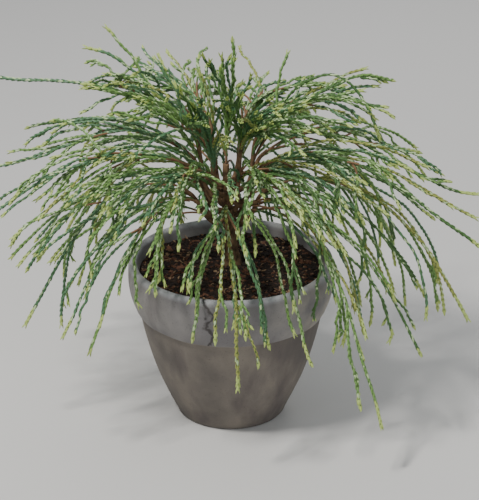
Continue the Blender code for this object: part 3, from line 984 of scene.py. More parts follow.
@dataclass
class Cords:
    """Turns shoot lines into twigs, and into pairs of scale leaves round them.

    A leaf has +Z along its cord and +X outwards. Each of its rings is the height along it, how far
    out its margins lie, its half width, and how far out its keel lies.
    """

    leaf_rings: tuple = (
        (-0.3 * MM, 0.65 * MM, 0.95 * MM, 1.2 * MM),
        (2.0 * MM, 0.85 * MM, 1.4 * MM, 1.85 * MM),
        (4.3 * MM, 1.25 * MM, 0.85 * MM, 2.15 * MM),
    )
    leaf_tip: tuple[float, float, float] = (1.95 * MM, 0, 6.0 * MM)
    leaf_step: float = 3.2 * MM
    leaf_turn: float = 0.22
    leaf_least: float = 0.9
    leaf_most: float = 1.1
    turn_seed: int = 3
    size_seed: int = 4
    luck_seed: int = 5
    # Painted highlight: the share of leaves that take it at random, and the further share by how far a
    # leaf faces up.
    highlight_share: float = 0.06
    highlight_above: float = 0.36
    cord_scale: float = 0.86
    tip_swell: float = 0.14
    tip_swell_power: int = 6
    twig_radius: float = 1.15 * MM
    twig_sides: int = 5
    twig_root: float = 1.15
    twig_taper: float = -0.35

    def __post_init__(self) -> None:
        """Makes the leaf and writes the two trees."""
        self.leaf = self.leaf_template()
        self.leaf_tree = self.write_leaf_tree()
        self.twig_tree = self.write_twig_tree()

    def leaf_template(self) -> bpy.types.Object:
        """Makes one scale leaf: keeled, blunt and closed.

        Returns:
            The object that the leaf tree repeats.
        """
        verts, faces = [], []
        for height, margin, half, keel in self.leaf_rings:
            verts += [(margin, -half, height), (keel, 0, height), (margin, half, height)]
        last, top = len(verts), len(verts) - 3
        verts.append(self.leaf_tip)
        for a in range(0, top, 3):
            b = a + 3
            faces += [(a, a + 1, b + 1, b), (a + 1, a + 2, b + 2, b + 1), (a + 2, a, b, b + 2)]
        faces += [(top, top + 1, last), (top + 1, top + 2, last), (top + 2, top, last)]
        faces.append((0, 2, 1))
        return new_mesh_object("leaf_kind", verts, faces)

    def write_leaf_tree(self) -> GrowthTree:
        """Writes the tree that sets leaves in pairs, each pair a quarter turn from the last.

        Returns:
            The tree.
        """
        tree = GrowthTree("cord_leaves", {"Leaf": "Object", "Step": "Float"})
        curve = tree.node("GeometryNodeMeshToCurve", tree.given["Geometry"])
        even = tree.node("GeometryNodeResampleCurve", mode="LENGTH")
        tree.fill(even, {"Curve": curve.outputs[0], "Length": tree.given["Step"]})
        points = tree.node("GeometryNodeCurveToPoints", even.outputs[0], mode="EVALUATED")
        number = tree.node("GeometryNodeInputIndex").outputs[0]
        kept = tree.stored(points.outputs["Points"], "number", number, "INT", "POINT")
        bare = tree.maths("LESS_THAN", tree.named("share"), tree.named("bare"))
        clad = tree.node("GeometryNodeDeleteGeometry", kept, bare, domain="POINT")
        pair = tree.node("GeometryNodeDuplicateElements", domain="POINT")
        tree.fill(pair, {"Geometry": clad.outputs[0], "Amount": 2})
        uneven = tree.chance(self.leaf_least, self.leaf_most, self.size_seed)
        place = tree.node("GeometryNodeInstanceOnPoints")
        tree.fill(place, {
            "Points": pair.outputs["Geometry"],
            "Instance": tree.node("GeometryNodeObjectInfo", tree.given["Leaf"]).outputs["Geometry"],
            "Rotation": self.leaf_turn_output(tree, points, pair),
            "Scale": tree.maths("MULTIPLY", tree.named("size"), uneven),
        })
        luck = tree.chance(0, 1, self.luck_seed)
        lucky = tree.stored(place.outputs[0], "luck", luck, "FLOAT", "INSTANCE")
        real = tree.node("GeometryNodeRealizeInstances", lucky)
        tree.finish(self.coloured(tree, real.outputs[0]))
        return tree

    def leaf_turn_output(self, tree: GrowthTree, points: bpy.types.Node, pair: bpy.types.Node) -> object:
        """Writes the turn of each leaf about its cord.

        Args:
            tree: the tree to write in.
            points: the node that gives each point its direction.
            pair: the node that doubles each point.

        Returns:
            The output of the turn.
        """
        odd = tree.maths("MODULO", tree.named("number", "INT"), 2)
        quarter = tree.maths("MULTIPLY", odd, math.pi / 2)
        half = tree.maths("MULTIPLY", pair.outputs["Duplicate Index"], math.pi)
        angle = tree.maths("ADD", quarter, half)
        angle = tree.maths("ADD", angle, tree.chance(-self.leaf_turn, self.leaf_turn, self.turn_seed))
        roll = tree.node("FunctionNodeAxisAngleToRotation", (0, 0, 1), angle)
        turn = tree.node("FunctionNodeRotateRotation", rotation_space="LOCAL")
        return tree.fill(turn, {0: points.outputs["Rotation"], 1: roll.outputs[0]}).outputs[0]

    def coloured(self, tree: GrowthTree, geometry: object) -> object:
        """Writes the leaves' colours: the shoot's green, a painted highlight on some leaves, most often on
        those that face up, and the tips.

        Args:
            tree: the tree to write in.
            geometry: the output of the leaves.

        Returns:
            The output of the coloured leaves.
        """
        for green, finish in GREEN_FINISHES.items():
            pick = tree.maths("COMPARE", tree.named("green"), float(green.value))
            geometry = tree.dressed(geometry, finish.material(), pick)
        # Painted highlight: a leaf that faces up is likelier to take the highlight colour, and a few
        # others take it at random.
        normal = tree.node("GeometryNodeInputNormal").outputs[0]
        upward = tree.node("ShaderNodeSeparateXYZ", normal).outputs[2]
        likely = tree.maths("ADD", tree.maths("MULTIPLY", upward, self.highlight_above), self.highlight_share)
        painted_light = tree.maths("LESS_THAN", tree.named("luck"), likely)
        geometry = tree.dressed(geometry, PAINTED_HIGHLIGHT_FINISH.material(), painted_light)
        tip = tree.maths("GREATER_THAN", tree.named("share"), tree.named("tipped"))
        return tree.dressed(geometry, TIP_FINISH.material(), tip)

    def write_twig_tree(self) -> GrowthTree:
        """Writes the tree that runs a thin tapering twig along each shoot.

        Returns:
            The tree.
        """
        tree = GrowthTree("twigs", {"Radius": "Float"})
        curve = tree.node("GeometryNodeMeshToCurve", tree.given["Geometry"])
        ring = tree.node("GeometryNodeCurvePrimitiveCircle")
        tree.fill(ring, {"Resolution": self.twig_sides, "Radius": tree.given["Radius"]})
        taper = tree.maths("MULTIPLY", tree.named("share"), self.twig_taper)
        taper = tree.maths("ADD", taper, self.twig_root)
        tube = tree.node("GeometryNodeCurveToMesh")
        tree.fill(tube, {
            "Curve": curve.outputs[0],
            "Profile Curve": ring.outputs[0],
            "Scale": tree.maths("MULTIPLY", taper, tree.named("size")),
            "Fill Caps": True,
        })
        real = tree.node("GeometryNodeRealizeInstances", tube.outputs[0])
        leafy = tree.dressed(real.outputs[0], TWIG_FINISH.material())
        woody = tree.maths("LESS_THAN", tree.named("share"), tree.named("bare"))
        tree.finish(tree.dressed(leafy, STEM_FINISH.material(), woody))
        return tree

    def line_mesh(self, name: str, whips: list[Whip]) -> bpy.types.Object:
        """Makes one mesh of edges from the cords' lines, with what the trees read at each point.

        Args:
            name: the object's name.
            whips: the cords.

        Returns:
            The object.
        """
        verts, edges = [], []
        stored = {"share": [], "bare": [], "size": [], "green": [], "tipped": []}
        for whip in whips:
            start, count = len(verts), len(whip.line)
            verts += [tuple(point) for point in whip.line]
            edges += [(start + i, start + i + 1) for i in range(count - 1)]
            for share in [number / (count - 1) for number in range(count)]:
                swell = self.tip_swell * share**self.tip_swell_power
                stored["share"].append(share)
                stored["bare"].append(whip.bare)
                stored["size"].append(whip.stout * (self.cord_scale + swell))
                stored["green"].append(float(whip.green.value))
                stored["tipped"].append(whip.tipped)
        mesh = bpy.data.meshes.new(name)
        mesh.from_pydata(verts, edges, [])
        for key, values in stored.items():
            mesh.attributes.new(key, "FLOAT", "POINT").data.foreach_set("value", values)
        return link_object(name, mesh)

    def dress(self, name: str, whips: list[Whip], nodes: list[str]) -> None:
        """Builds the twigs and leaves of some masses and puts them in place of their solids.

        Args:
            name: the start of the pieces' names.
            whips: the masses' cords.
            nodes: their solid nodes.
        """
        lines = self.line_mesh(name, whips)
        settings = {"Leaf": self.leaf, "Step": self.leaf_step}
        leaves = self.leaf_tree.grow(name + "_cord_leaves", lines, settings)
        twigs = self.twig_tree.grow(name + "_twigs", lines, {"Radius": self.twig_radius})
        bpy.data.objects.remove(lines)
        smooth(twigs)
        attach(leaves, nodes)
        attach(twigs, nodes)

    def put_away(self) -> None:
        """Removes the leaf that the tree repeats."""
        bpy.data.objects.remove(self.leaf)


@dataclass
class Crown:
    """The masses of foliage, level by level, each level halved into pieces of leaves and of twigs."""

    tiers: tuple[Tier, ...] = TIERS

    def build(self) -> None:
        """Grows every mass and dresses it with twigs and leaves."""
        cords = Cords()
        total = 0
        for tier in self.tiers:
            masses = [Mass(tier, index) for index in range(tier.count)]
            middle = tier.count // 2
            for letter, half in (("a", masses[:middle]), ("b", masses[middle:])):
                if half:
                    whips = [whip for mass in half for whip in mass.whips()]
                    nodes = [mass.foliage_node() for mass in half]
                    cords.dress(f"{tier.name}_{letter}", whips, nodes)
                    total += len(whips)
        cords.put_away()
        LOG.info("cords: %d", total)


@dataclass(frozen=True)
class Clouds:
    """How soft noise lies on a surface: how fine it is, and the levels it is spread between."""

    scale: float
    detail: float
    low: float
    high: float


MOTTLE_INPUTS = {"Vector": "Vector", "Scale": "Float", "Detail": "Float", "Low": "Float", "High": "Float"}


def mottle_group() -> bpy.types.NodeTree:
    """Builds the shader node group of soft noise, the first time that a finish asks for it.

    Returns:
        The group: a vector, a scale, a detail and two levels in, and a value from 0 to 1 out.
    """
    found = bpy.data.node_groups.get("mottle")
    if found:
        return found
    group = bpy.data.node_groups.new("mottle", "ShaderNodeTree")
    face = group.interface
    for label, kind in MOTTLE_INPUTS.items():
        face.new_socket(label, in_out="INPUT", socket_type="NodeSocket" + kind)
    face.new_socket("Value", in_out="OUTPUT", socket_type="NodeSocketFloat")
    tree = Tree(group)
    given = tree.node("NodeGroupInput").outputs
    cloud = tree.node("ShaderNodeTexNoise")
    tree.fill(cloud, {label: given[label] for label in ("Vector", "Scale", "Detail")})
    spread = tree.node("ShaderNodeMapRange", cloud.outputs[0], given["Low"], given["High"])
    tree.node("NodeGroupOutput", spread.outputs[0])
    return group


class ShadeTree(Tree):
    """A material's node tree, with the few steps that the clouded finishes repeat."""

    def __init__(self, material: bpy.types.Material) -> None:
        """Takes the material's tree and its object coordinates."""
        super().__init__(material.node_tree)
        self.place = self.node("ShaderNodeTexCoord").outputs["Object"]

    def mottle(self, vector: bpy.types.NodeSocket, clouds: Clouds) -> bpy.types.NodeSocket:
        """Writes soft noise over a vector.

        Args:
            vector: the output of the place that the noise is read at.
            clouds: how the noise lies.

        Returns:
            The output of the noise, from 0 to 1.
        """
        node = self.node("ShaderNodeGroup", node_tree=mottle_group())
        values = (vector, clouds.scale, clouds.detail, clouds.low, clouds.high)
        return self.fill(node, dict(zip(MOTTLE_INPUTS, values))).outputs[0]

    def blend(self, share: object, first: object, second: object) -> bpy.types.NodeSocket:
        """Writes a mix of two colours, each an output or a plain linear colour.

        Args:
            share: the share of the second colour.
            first: the first colour.
            second: the second colour.

        Returns:
            The output of the mixed colour.
        """
        colours = [(*c, 1) if isinstance(c, tuple) else c for c in (first, second)]
        node = self.node("ShaderNodeMix", data_type="RGBA")
        return self.fill(node, {0: share, 6: colours[0], 7: colours[1]}).outputs[2]

    def product(self, first: object, second: object) -> bpy.types.NodeSocket:
        """Two values multiplied."""
        return self.maths("MULTIPLY", first, second)

    def ramp(self, value: object, start_end: tuple[float, float]) -> bpy.types.NodeSocket:
        """A value that goes from 0 to 1 as another goes from its start to its end."""
        return self.node("ShaderNodeMapRange", value, *start_end).outputs[0]


@dataclass(frozen=True)
class ClayFinish:
    """Old fired clay: grey-brown, with a paler collar, a worn lip, and painted sunlight on the right side
    of the collar and lip.

    Dark smears, specks and a stained crack lie over it. Each depth is how strongly a layer covers.
    """

    name: str = "fired_clay"
    roughness: float = 0.72
    specular: float = 0.35
    body_clouds: Clouds = Clouds(14, 5, 0.38, 0.62)
    body_dark: tuple = (0.13, 0.114, 0.1)
    body_light: tuple = (0.22, 0.192, 0.16)
    smear_tilt: float = -24
    smear_stretch: float = 0.22
    smear_clouds: Clouds = Clouds(22, 6, 0.5, 0.66)
    smear_depth: float = 0.85
    smear: tuple = (0.085, 0.07, 0.07)
    collar_heights: tuple = (118.5 * MM, 120.5 * MM)
    collar_clouds: Clouds = Clouds(18, 5, 0.4, 0.62)
    collar_dark: tuple = (0.185, 0.175, 0.176)
    collar_light: tuple = (0.265, 0.25, 0.238)
    collar_smear_clouds: Clouds = Clouds(30, 5, 0.52, 0.7)
    collar_smear_depth: float = 0.6
    collar_smear: tuple = (0.11, 0.092, 0.092)
    lip_heights: tuple = (167.2 * MM, 172.5 * MM)
    lip_clouds: Clouds = Clouds(40, 4, 0.25, 0.6)
    lip: tuple = (0.37, 0.38, 0.385)
    # Painted sunlight: a warm light colour laid in clouded patches over the right side of the collar and
    # lip.
    painted_sunlight_places: tuple = (30 * MM, 100 * MM)
    painted_sunlight_clouds: Clouds = Clouds(26, 5, 0.42, 0.66)
    painted_sunlight_depth: float = 0.55
    painted_sunlight: tuple = (0.5, 0.45, 0.36)
    crack_clouds: Clouds = Clouds(55, 3, 0.3, 0.7)
    crack_sway: float = 16 * MM
    crack_place: float = 14.5 * MM
    crack_edges: tuple = (3.5 * MM, 0.8 * MM)
    crack_depth: float = 0.8
    crack: tuple = (0.035, 0.028, 0.026)
    speck_clouds: Clouds = Clouds(620, 2, 0.62, 0.72)
    speck_depth: float = 0.35
    speck: tuple = (0.05, 0.045, 0.043)
    grain_clouds: Clouds = Clouds(260, 6, 0.2, 0.8)
    grain_strength: float = 0.35
    grain_height: float = 0.6 * MM

    def material(self) -> bpy.types.Material:
        """Lays the clay's colours over one another, and its grain.

        Returns:
            The material.
        """
        made, shader = new_material(self.name, self.roughness, self.specular)
        tree = ShadeTree(made)
        x, y, z = tree.node("ShaderNodeSeparateXYZ", tree.place).outputs
        slanted = tree.node("ShaderNodeMapping")
        tilt = (0, math.radians(self.smear_tilt), 0)
        tree.fill(slanted, {"Vector": tree.place, "Rotation": tilt, "Scale": (1, 1, self.smear_stretch)})
        along_smears = slanted.outputs[0]
        collar_share = tree.ramp(z, self.collar_heights)
        body = tree.blend(tree.mottle(tree.place, self.body_clouds), self.body_dark, self.body_light)
        smears = tree.product(tree.mottle(along_smears, self.smear_clouds), self.smear_depth)
        body = tree.blend(smears, body, self.smear)
        clouds = tree.mottle(tree.place, self.collar_clouds)
        collar = tree.blend(clouds, self.collar_dark, self.collar_light)
        smears = tree.product(tree.mottle(along_smears, self.collar_smear_clouds), self.collar_smear_depth)
        collar = tree.blend(smears, collar, self.collar_smear)
        tone = tree.blend(collar_share, body, collar)
        worn = tree.product(tree.ramp(z, self.lip_heights), tree.mottle(tree.place, self.lip_clouds))
        tone = tree.blend(worn, tone, self.lip)
        # Painted sunlight on the right side of the collar and lip, in clouded patches.
        painted_light = tree.product(tree.ramp(x, self.painted_sunlight_places), collar_share)
        painted_light = tree.product(painted_light, tree.mottle(tree.place, self.painted_sunlight_clouds))
        tone = tree.blend(tree.product(painted_light, self.painted_sunlight_depth), tone, self.painted_sunlight)
        tone = tree.blend(self.crack_share(tree, x, y, collar_share), tone, self.crack)
        specks = tree.product(tree.mottle(tree.place, self.speck_clouds), self.speck_depth)
        tone = tree.blend(specks, tone, self.speck)
        tree.feed(shader.inputs["Base Color"], tone)
        bump = tree.node("ShaderNodeBump")
        grain = tree.mottle(tree.place, self.grain_clouds)
        tree.fill(bump, {"Strength": self.grain_strength, "Distance": self.grain_height, "Height": grain})
        tree.feed(shader.inputs["Normal"], bump.outputs[0])
        return made

    def crack_share(self, tree: ShadeTree, x: object, y: object, collar_share: object) -> object:
        """Writes the stained crack that wanders down the front of the collar.

        Args:
            tree: the material's tree.
            x: the output of how far the place lies to the right of the pot's middle.
            y: the output of how far the place lies behind the pot's middle.
            collar_share: the output that is 1 on the collar.

        Returns:
            The output that is 1 on the crack.
        """
        sway = tree.mottle(tree.place, self.crack_clouds)
        sway = tree.maths("MULTIPLY_ADD", sway, self.crack_sway, self.crack_place)
        line = tree.maths("ABSOLUTE", tree.maths("ADD", x, sway))
        front = tree.product(tree.maths("LESS_THAN", y, 0.0), self.crack_depth)
        return tree.product(tree.product(tree.ramp(line, self.crack_edges), collar_share), front)


@dataclass(frozen=True)
class RoughFinish:
    """A rough natural finish that wavers between two browns."""

    name: str
    dark: tuple[float, float, float]
    light: tuple[float, float, float]
    clouds: Clouds
    roughness: float = 0.85
    specular: float = 0.2

    def material(self) -> bpy.types.Material:
        """The finish as a material with clouded colour.

        Returns:
            The material.
        """
        made, shader = new_material(self.name, self.roughness, self.specular)
        tree = ShadeTree(made)
        tone = tree.blend(tree.mottle(tree.place, self.clouds), self.dark, self.light)
        tree.feed(shader.inputs["Base Color"], tone)
        return made


MIX_FINISH = RoughFinish(
    name="mix_fines",
    dark=(0.012, 0.008, 0.006),
    light=(0.04, 0.024, 0.016),
    clouds=Clouds(240, 5, 0.36, 0.64),
)
BARK_FINISH = RoughFinish(
    name="stringy_bark",
    dark=(0.06, 0.038, 0.022),
    light=(0.19, 0.115, 0.06),
    clouds=Clouds(150, 5, 0.36, 0.64),
)


@dataclass
class Pot:
    """The fired clay pot, with its collar, its rounded lip and the slight unevenness of its wall."""

    foot_radius: float = 59 * MM
    foot_round: float = 4 * MM
    foot_turns: tuple[int, ...] = (0, 30, 60, 90)
    collar_foot_radius: float = 99.5 * MM
    collar_step: float = 3 * MM
    collar_bulge: float = 4 * MM
    collar_points: int = 16
    collar_edge: float = 0.8 * MM
    groove_width: float = 0.4 * MM
    groove_depth: float = 0.6 * MM
    body_bulge: float = 5 * MM
    body_points: int = 24
    wall: float = 9 * MM
    floor: float = 12 * MM
    waist_share: float = 0.72
    lip_turn: int = 15
    steps: int = 160
    sharp_turn: float = 50
    unevenness: float = 0.5 * MM
    uneven_scale: float = 22
    grain: float = 0.15 * MM
    grain_scale: float = 90
    still_foot_share: float = 0.9
    still_foot_height: float = 1 * MM
    edge_wave: float = 0.54 * MM
    edge_beats: tuple = ((5, 1, 1.0), (13, 0, 0.6))
    edge_band: float = 5 * MM
    edge_reach: float = 92 * MM

    def inside_and_lip(self) -> list[tuple[float, float]]:
        """The section from the middle of the inside floor to the outer side of the lip.

        Returns:
            Its points, as (radius, height).
        """
        lip = self.wall / 2
        floor_radius, rim_radius = self.foot_radius - self.wall / 3, RIM_RADIUS - self.wall
        waist = (mix((floor_radius, rim_radius), self.waist_share), COLLAR_FOOT_HEIGHT)
        found = [(0, self.floor), (floor_radius, self.floor), waist]
        for turn in range(180, -1, -self.lip_turn):
            angle = math.radians(turn)
            across, rise = lip * math.cos(angle), lip * math.sin(angle)
            found.append((RIM_RADIUS - lip + across, POT_HEIGHT - lip + rise))
        return found

    def collar(self) -> list[tuple[float, float]]:
        """The section from under the lip to the groove under the collar.

        Returns:
            Its points, as (radius, height).
        """
        foot, top = COLLAR_FOOT_HEIGHT, POT_HEIGHT - self.wall / 2
        found = []
        for number in range(self.collar_points - 1, 0, -1):
            share = number / self.collar_points
            radius = mix((self.collar_foot_radius, RIM_RADIUS), share)
            swell = self.collar_bulge * math.sin(math.pi * share)
            found.append((radius + swell, mix((foot, top), share)))
        found.append((self.collar_foot_radius, foot + self.collar_edge))
        found.append((self.collar_foot_radius - self.collar_edge, foot))
        groove_radius = self.collar_foot_radius - self.collar_step + self.groove_width
        found.append((groove_radius, foot - self.groove_depth))
        return found

    def body_and_foot(self) -> list[tuple[float, float]]:
        """The section from under the collar to the middle of the underside.

        Returns:
            Its points, as (radius, height).
        """
        top_radius = self.collar_foot_radius - self.collar_step
        top = COLLAR_FOOT_HEIGHT - self.collar_step
        found = []
        for number in range(self.body_points, 0, -1):
            share = number / self.body_points
            radius = mix((self.foot_radius, top_radius), share)
            swell = self.body_bulge * math.sin(math.pi * share)
            found.append((radius + swell, mix((self.foot_round, top), share)))
        for turn in self.foot_turns:
            angle = math.radians(turn)
            inset = self.foot_round * (1 - math.cos(angle))
            found.append((self.foot_radius - inset, self.foot_round * (1 - math.sin(angle))))
        found.append((0, 0))
        return found

    def roughen(self, point: Vector) -> None:
        """Moves a point of the wall a little in or out, and waves the collar's lower edge.

        Args:
            point: the point, which is changed.
        """
        reach = math.hypot(point.x, point.y)
        if reach < self.foot_radius * self.still_foot_share or point.z < self.still_foot_height:
            return
        push = noise.noise(point * self.uneven_scale) * self.unevenness
        push += noise.noise(point * self.grain_scale) * self.grain
        point.x *= 1 + push / reach
        point.y *= 1 + push / reach
        off = abs(point.z - COLLAR_FOOT_HEIGHT)
        if reach > self.edge_reach and off < self.edge_band:
            turn = math.atan2(point.y, point.x)
            wave = sum(size * math.sin(beat * turn + start) for beat, start, size in self.edge_beats)
            point.z += wave * self.edge_wave * (1 - off / self.edge_band)

    def build(self) -> None:
        """Builds the pot and puts it in place of its solid."""
        profile = self.inside_and_lip() + self.collar() + self.body_and_foot()
        made = turned_mesh("pot_fired", profile, self.steps)
        for vertex in made.data.vertices:
            self.roughen(vertex.co)
        smooth(made)
        made.data.set_sharp_from_angle(angle=math.radians(self.sharp_turn))
        made.data.materials.append(ClayFinish().material())
        attach(made, ["pot"])


@dataclass(frozen=True)
class Fragments:
    """One colour of fragments in the mix: their sizes, and how many there are to a square metre."""

    name: str
    sizes: tuple
    finish: Finish
    density: float


FLAT_CHIP = (7 * MM, 4 * MM, 1.6 * MM)
SMALL_CHIP = (4 * MM, 3 * MM, 1.6 * MM)
FIBRE = (11 * MM, 1.0 * MM, 0.9 * MM)
DARK_CHIP_FINISH = Finish("chip_dark", (0.02, 0.013, 0.01), 0.9)
RED_CHIP_FINISH = Finish("chip_red", (0.1, 0.042, 0.022), 0.85)
TAN_CHIP_FINISH = Finish("chip_tan", (0.25, 0.16, 0.09), 0.85)
STREWN = (
    Fragments("chips_dark", (FLAT_CHIP, SMALL_CHIP, SMALL_CHIP), DARK_CHIP_FINISH, 60000),
    Fragments("chips_red", (FLAT_CHIP, SMALL_CHIP), RED_CHIP_FINISH, 22000),
    Fragments("fibres_tan", (FIBRE, SMALL_CHIP), TAN_CHIP_FINISH, 9000),
)


@dataclass
class Soil:
    """The potting mix: a rough mound of dark fines under bark chips and fibres."""

    edge_height: float = 160 * MM
    edge_radius: float = 97.3 * MM
    fall_power: float = 1.5
    foot_height: float = 150 * MM
    foot_inset: float = 2 * MM
    rings: int = 70
    steps: int = 180
    relief: float = 1.3 * MM
    relief_waves: tuple = ((60, 1.0), (220, 0.6), (500, 0.4))
    still_edge: float = 0.5 * MM
    still_side: float = 1 * MM
    strewn_edge: float = 3 * MM
    strewn_drop: float = 2 * MM
    least_level: float = 0.2
    spacing: float = 1.2 * MM
    least_size: float = 0.6
    greatest_size: float = 1.35
    chip_corners: tuple[float, float] = (0.28, 0.55)
    chip_tip: float = 0.5

    def surface(self) -> bpy.types.Object:
        """Makes the mound as a closed low disc with fine relief on top.

        Returns:
            The object.
        """
        profile = [(0.0, SOIL_CROWN_HEIGHT)]
        for ring in range(1, self.rings + 1):
            radius = ring / self.rings * self.edge_radius
            drop = max(0, (radius - SOIL_SEAT_RADIUS) / (self.edge_radius - SOIL_SEAT_RADIUS))
            height = mix((SOIL_CROWN_HEIGHT, self.edge_height), drop**self.fall_power)
            profile.append((radius, height))
        profile += [(self.edge_radius - self.foot_inset, self.foot_height), (0.0, self.foot_height)]
        made = turned_mesh("soil_bed", profile, self.steps)
        for vertex in made.data.vertices:
            point = vertex.co
            inside = math.hypot(point.x, point.y) < self.edge_radius - self.still_edge
            if point.z > self.foot_height + self.still_side and inside:
                rough = sum(size * noise.noise(point * scale) for scale, size in self.relief_waves)
                point.z += rough * self.relief
        return made

    def strewn_ground(self, bed: bpy.types.Object) -> bpy.types.Object:
        """Copies the faces of the mound that lie inside the lip and face up.

        Args:
            bed: the mound.

        Returns:
            The new object.
        """
        lowest, widest = self.edge_height - self.strewn_drop, self.edge_radius - self.strewn_edge
        faces = []
        for face in bed.data.polygons:
            centre = face.center
            on_top = centre.z > lowest and face.normal.z > self.least_level
            if on_top and math.hypot(centre.x, centre.y) < widest:
                faces.append(tuple(face.vertices))
        return new_mesh_object("strewn_ground", [v.co for v in bed.data.vertices], faces)

    def chip(self, name: str, size: tuple[float, float, float], seed: int) -> bpy.types.Object:
        """Makes one fragment: a block with uneven corners.

        Args:
            name: the object's name.
            size: its length, width and thickness.
            seed: what makes its corners its own.

        Returns:
            The object.
        """
        rule = random.Random(seed)
        verts = []
        for corner in [(x, y, z) for x in (-1, 1) for y in (-1, 1) for z in (-1, 1)]:
            verts.append([s * way * rule.uniform(*self.chip_corners) for s, way in zip(size, corner)])
        faces = [(0, 1, 3, 2), (4, 6, 7, 5), (0, 4, 5, 1), (2, 3, 7, 6), (0, 2, 6, 4), (1, 5, 7, 3)]
        return new_mesh_object(name, verts, faces)

    def write_tree(self, name: str, material: bpy.types.Material, seed: int) -> GrowthTree:
        """Writes the tree that strews fragments over a surface.

        Args:
            name: the tree's name.
            material: the fragments' material.
            seed: the fixed seed.

        Returns:
            The tree.
        """
        sizes = {"Density": "Float", "Spacing": "Float", "Least size": "Float", "Greatest size": "Float"}
        tree = GrowthTree(name, {"Kinds": "Collection", **sizes})
        spread = tree.node("GeometryNodeDistributePointsOnFaces", distribute_method="POISSON")
        tree.fill(spread, {
            "Mesh": tree.given["Geometry"],
            "Distance Min": tree.given["Spacing"],
            "Density Max": tree.given["Density"],
            "Seed": seed,
        })
        kinds = tree.node("GeometryNodeCollectionInfo")
        apart = {"Separate Children": True, "Reset Children": True}
        tree.fill(kinds, {"Collection": tree.given["Kinds"], **apart})
        turn = tree.node("FunctionNodeRandomValue", data_type="FLOAT_VECTOR")
        tip = self.chip_tip
        tree.fill(turn, {0: (-tip, -tip, 0), 1: (tip, tip, 2 * math.pi), "Seed": seed + 1})
        place = tree.node("GeometryNodeInstanceOnPoints")
        tree.fill(place, {
            "Points": spread.outputs["Points"],
            "Instance": kinds.outputs[0],
            "Pick Instance": True,
            "Rotation": turn.outputs[0],
            "Scale": tree.chance(tree.given["Least size"], tree.given["Greatest size"], seed + 2),
        })
        real = tree.node("GeometryNodeRealizeInstances", place.outputs[0])
        tree.finish(tree.dressed(real.outputs[0], material))
        return tree

    def strew(self, ground: bpy.types.Object, some: Fragments) -> None:
        """Strews one colour of fragments over the mound.

        Args:
            ground: the surface that they lie on.
            some: the fragments.
        """
        kinds = bpy.data.collections.new(some.name + "_kinds")
        seed = sum(map(ord, some.name))
        for number, size in enumerate(some.sizes):
            kind = self.chip(f"{some.name}_kind_{number}", size, seed + number)
            bpy.context.scene.collection.objects.unlink(kind)
            kinds.objects.link(kind)
        tree = self.write_tree(some.name, some.finish.material(), seed)
        made = tree.grow(some.name, ground, {
            "Kinds": kinds,
            "Density": some.density,
            "Spacing": self.spacing,
            "Least size": self.least_size,
            "Greatest size": self.greatest_size,
        })
        for kind in list(kinds.objects):
            bpy.data.objects.remove(kind)
        bpy.data.collections.remove(kinds)
        attach(made, ["soil"])

    def build(self) -> None:
        """Builds the mound and strews it."""
        bed = self.surface()
        bed.data.materials.append(MIX_FINISH.material())
        ground = self.strewn_ground(bed)
        for some in STREWN:
            self.strew(ground, some)
        bpy.data.objects.remove(ground)
        attach(bed, ["soil"])


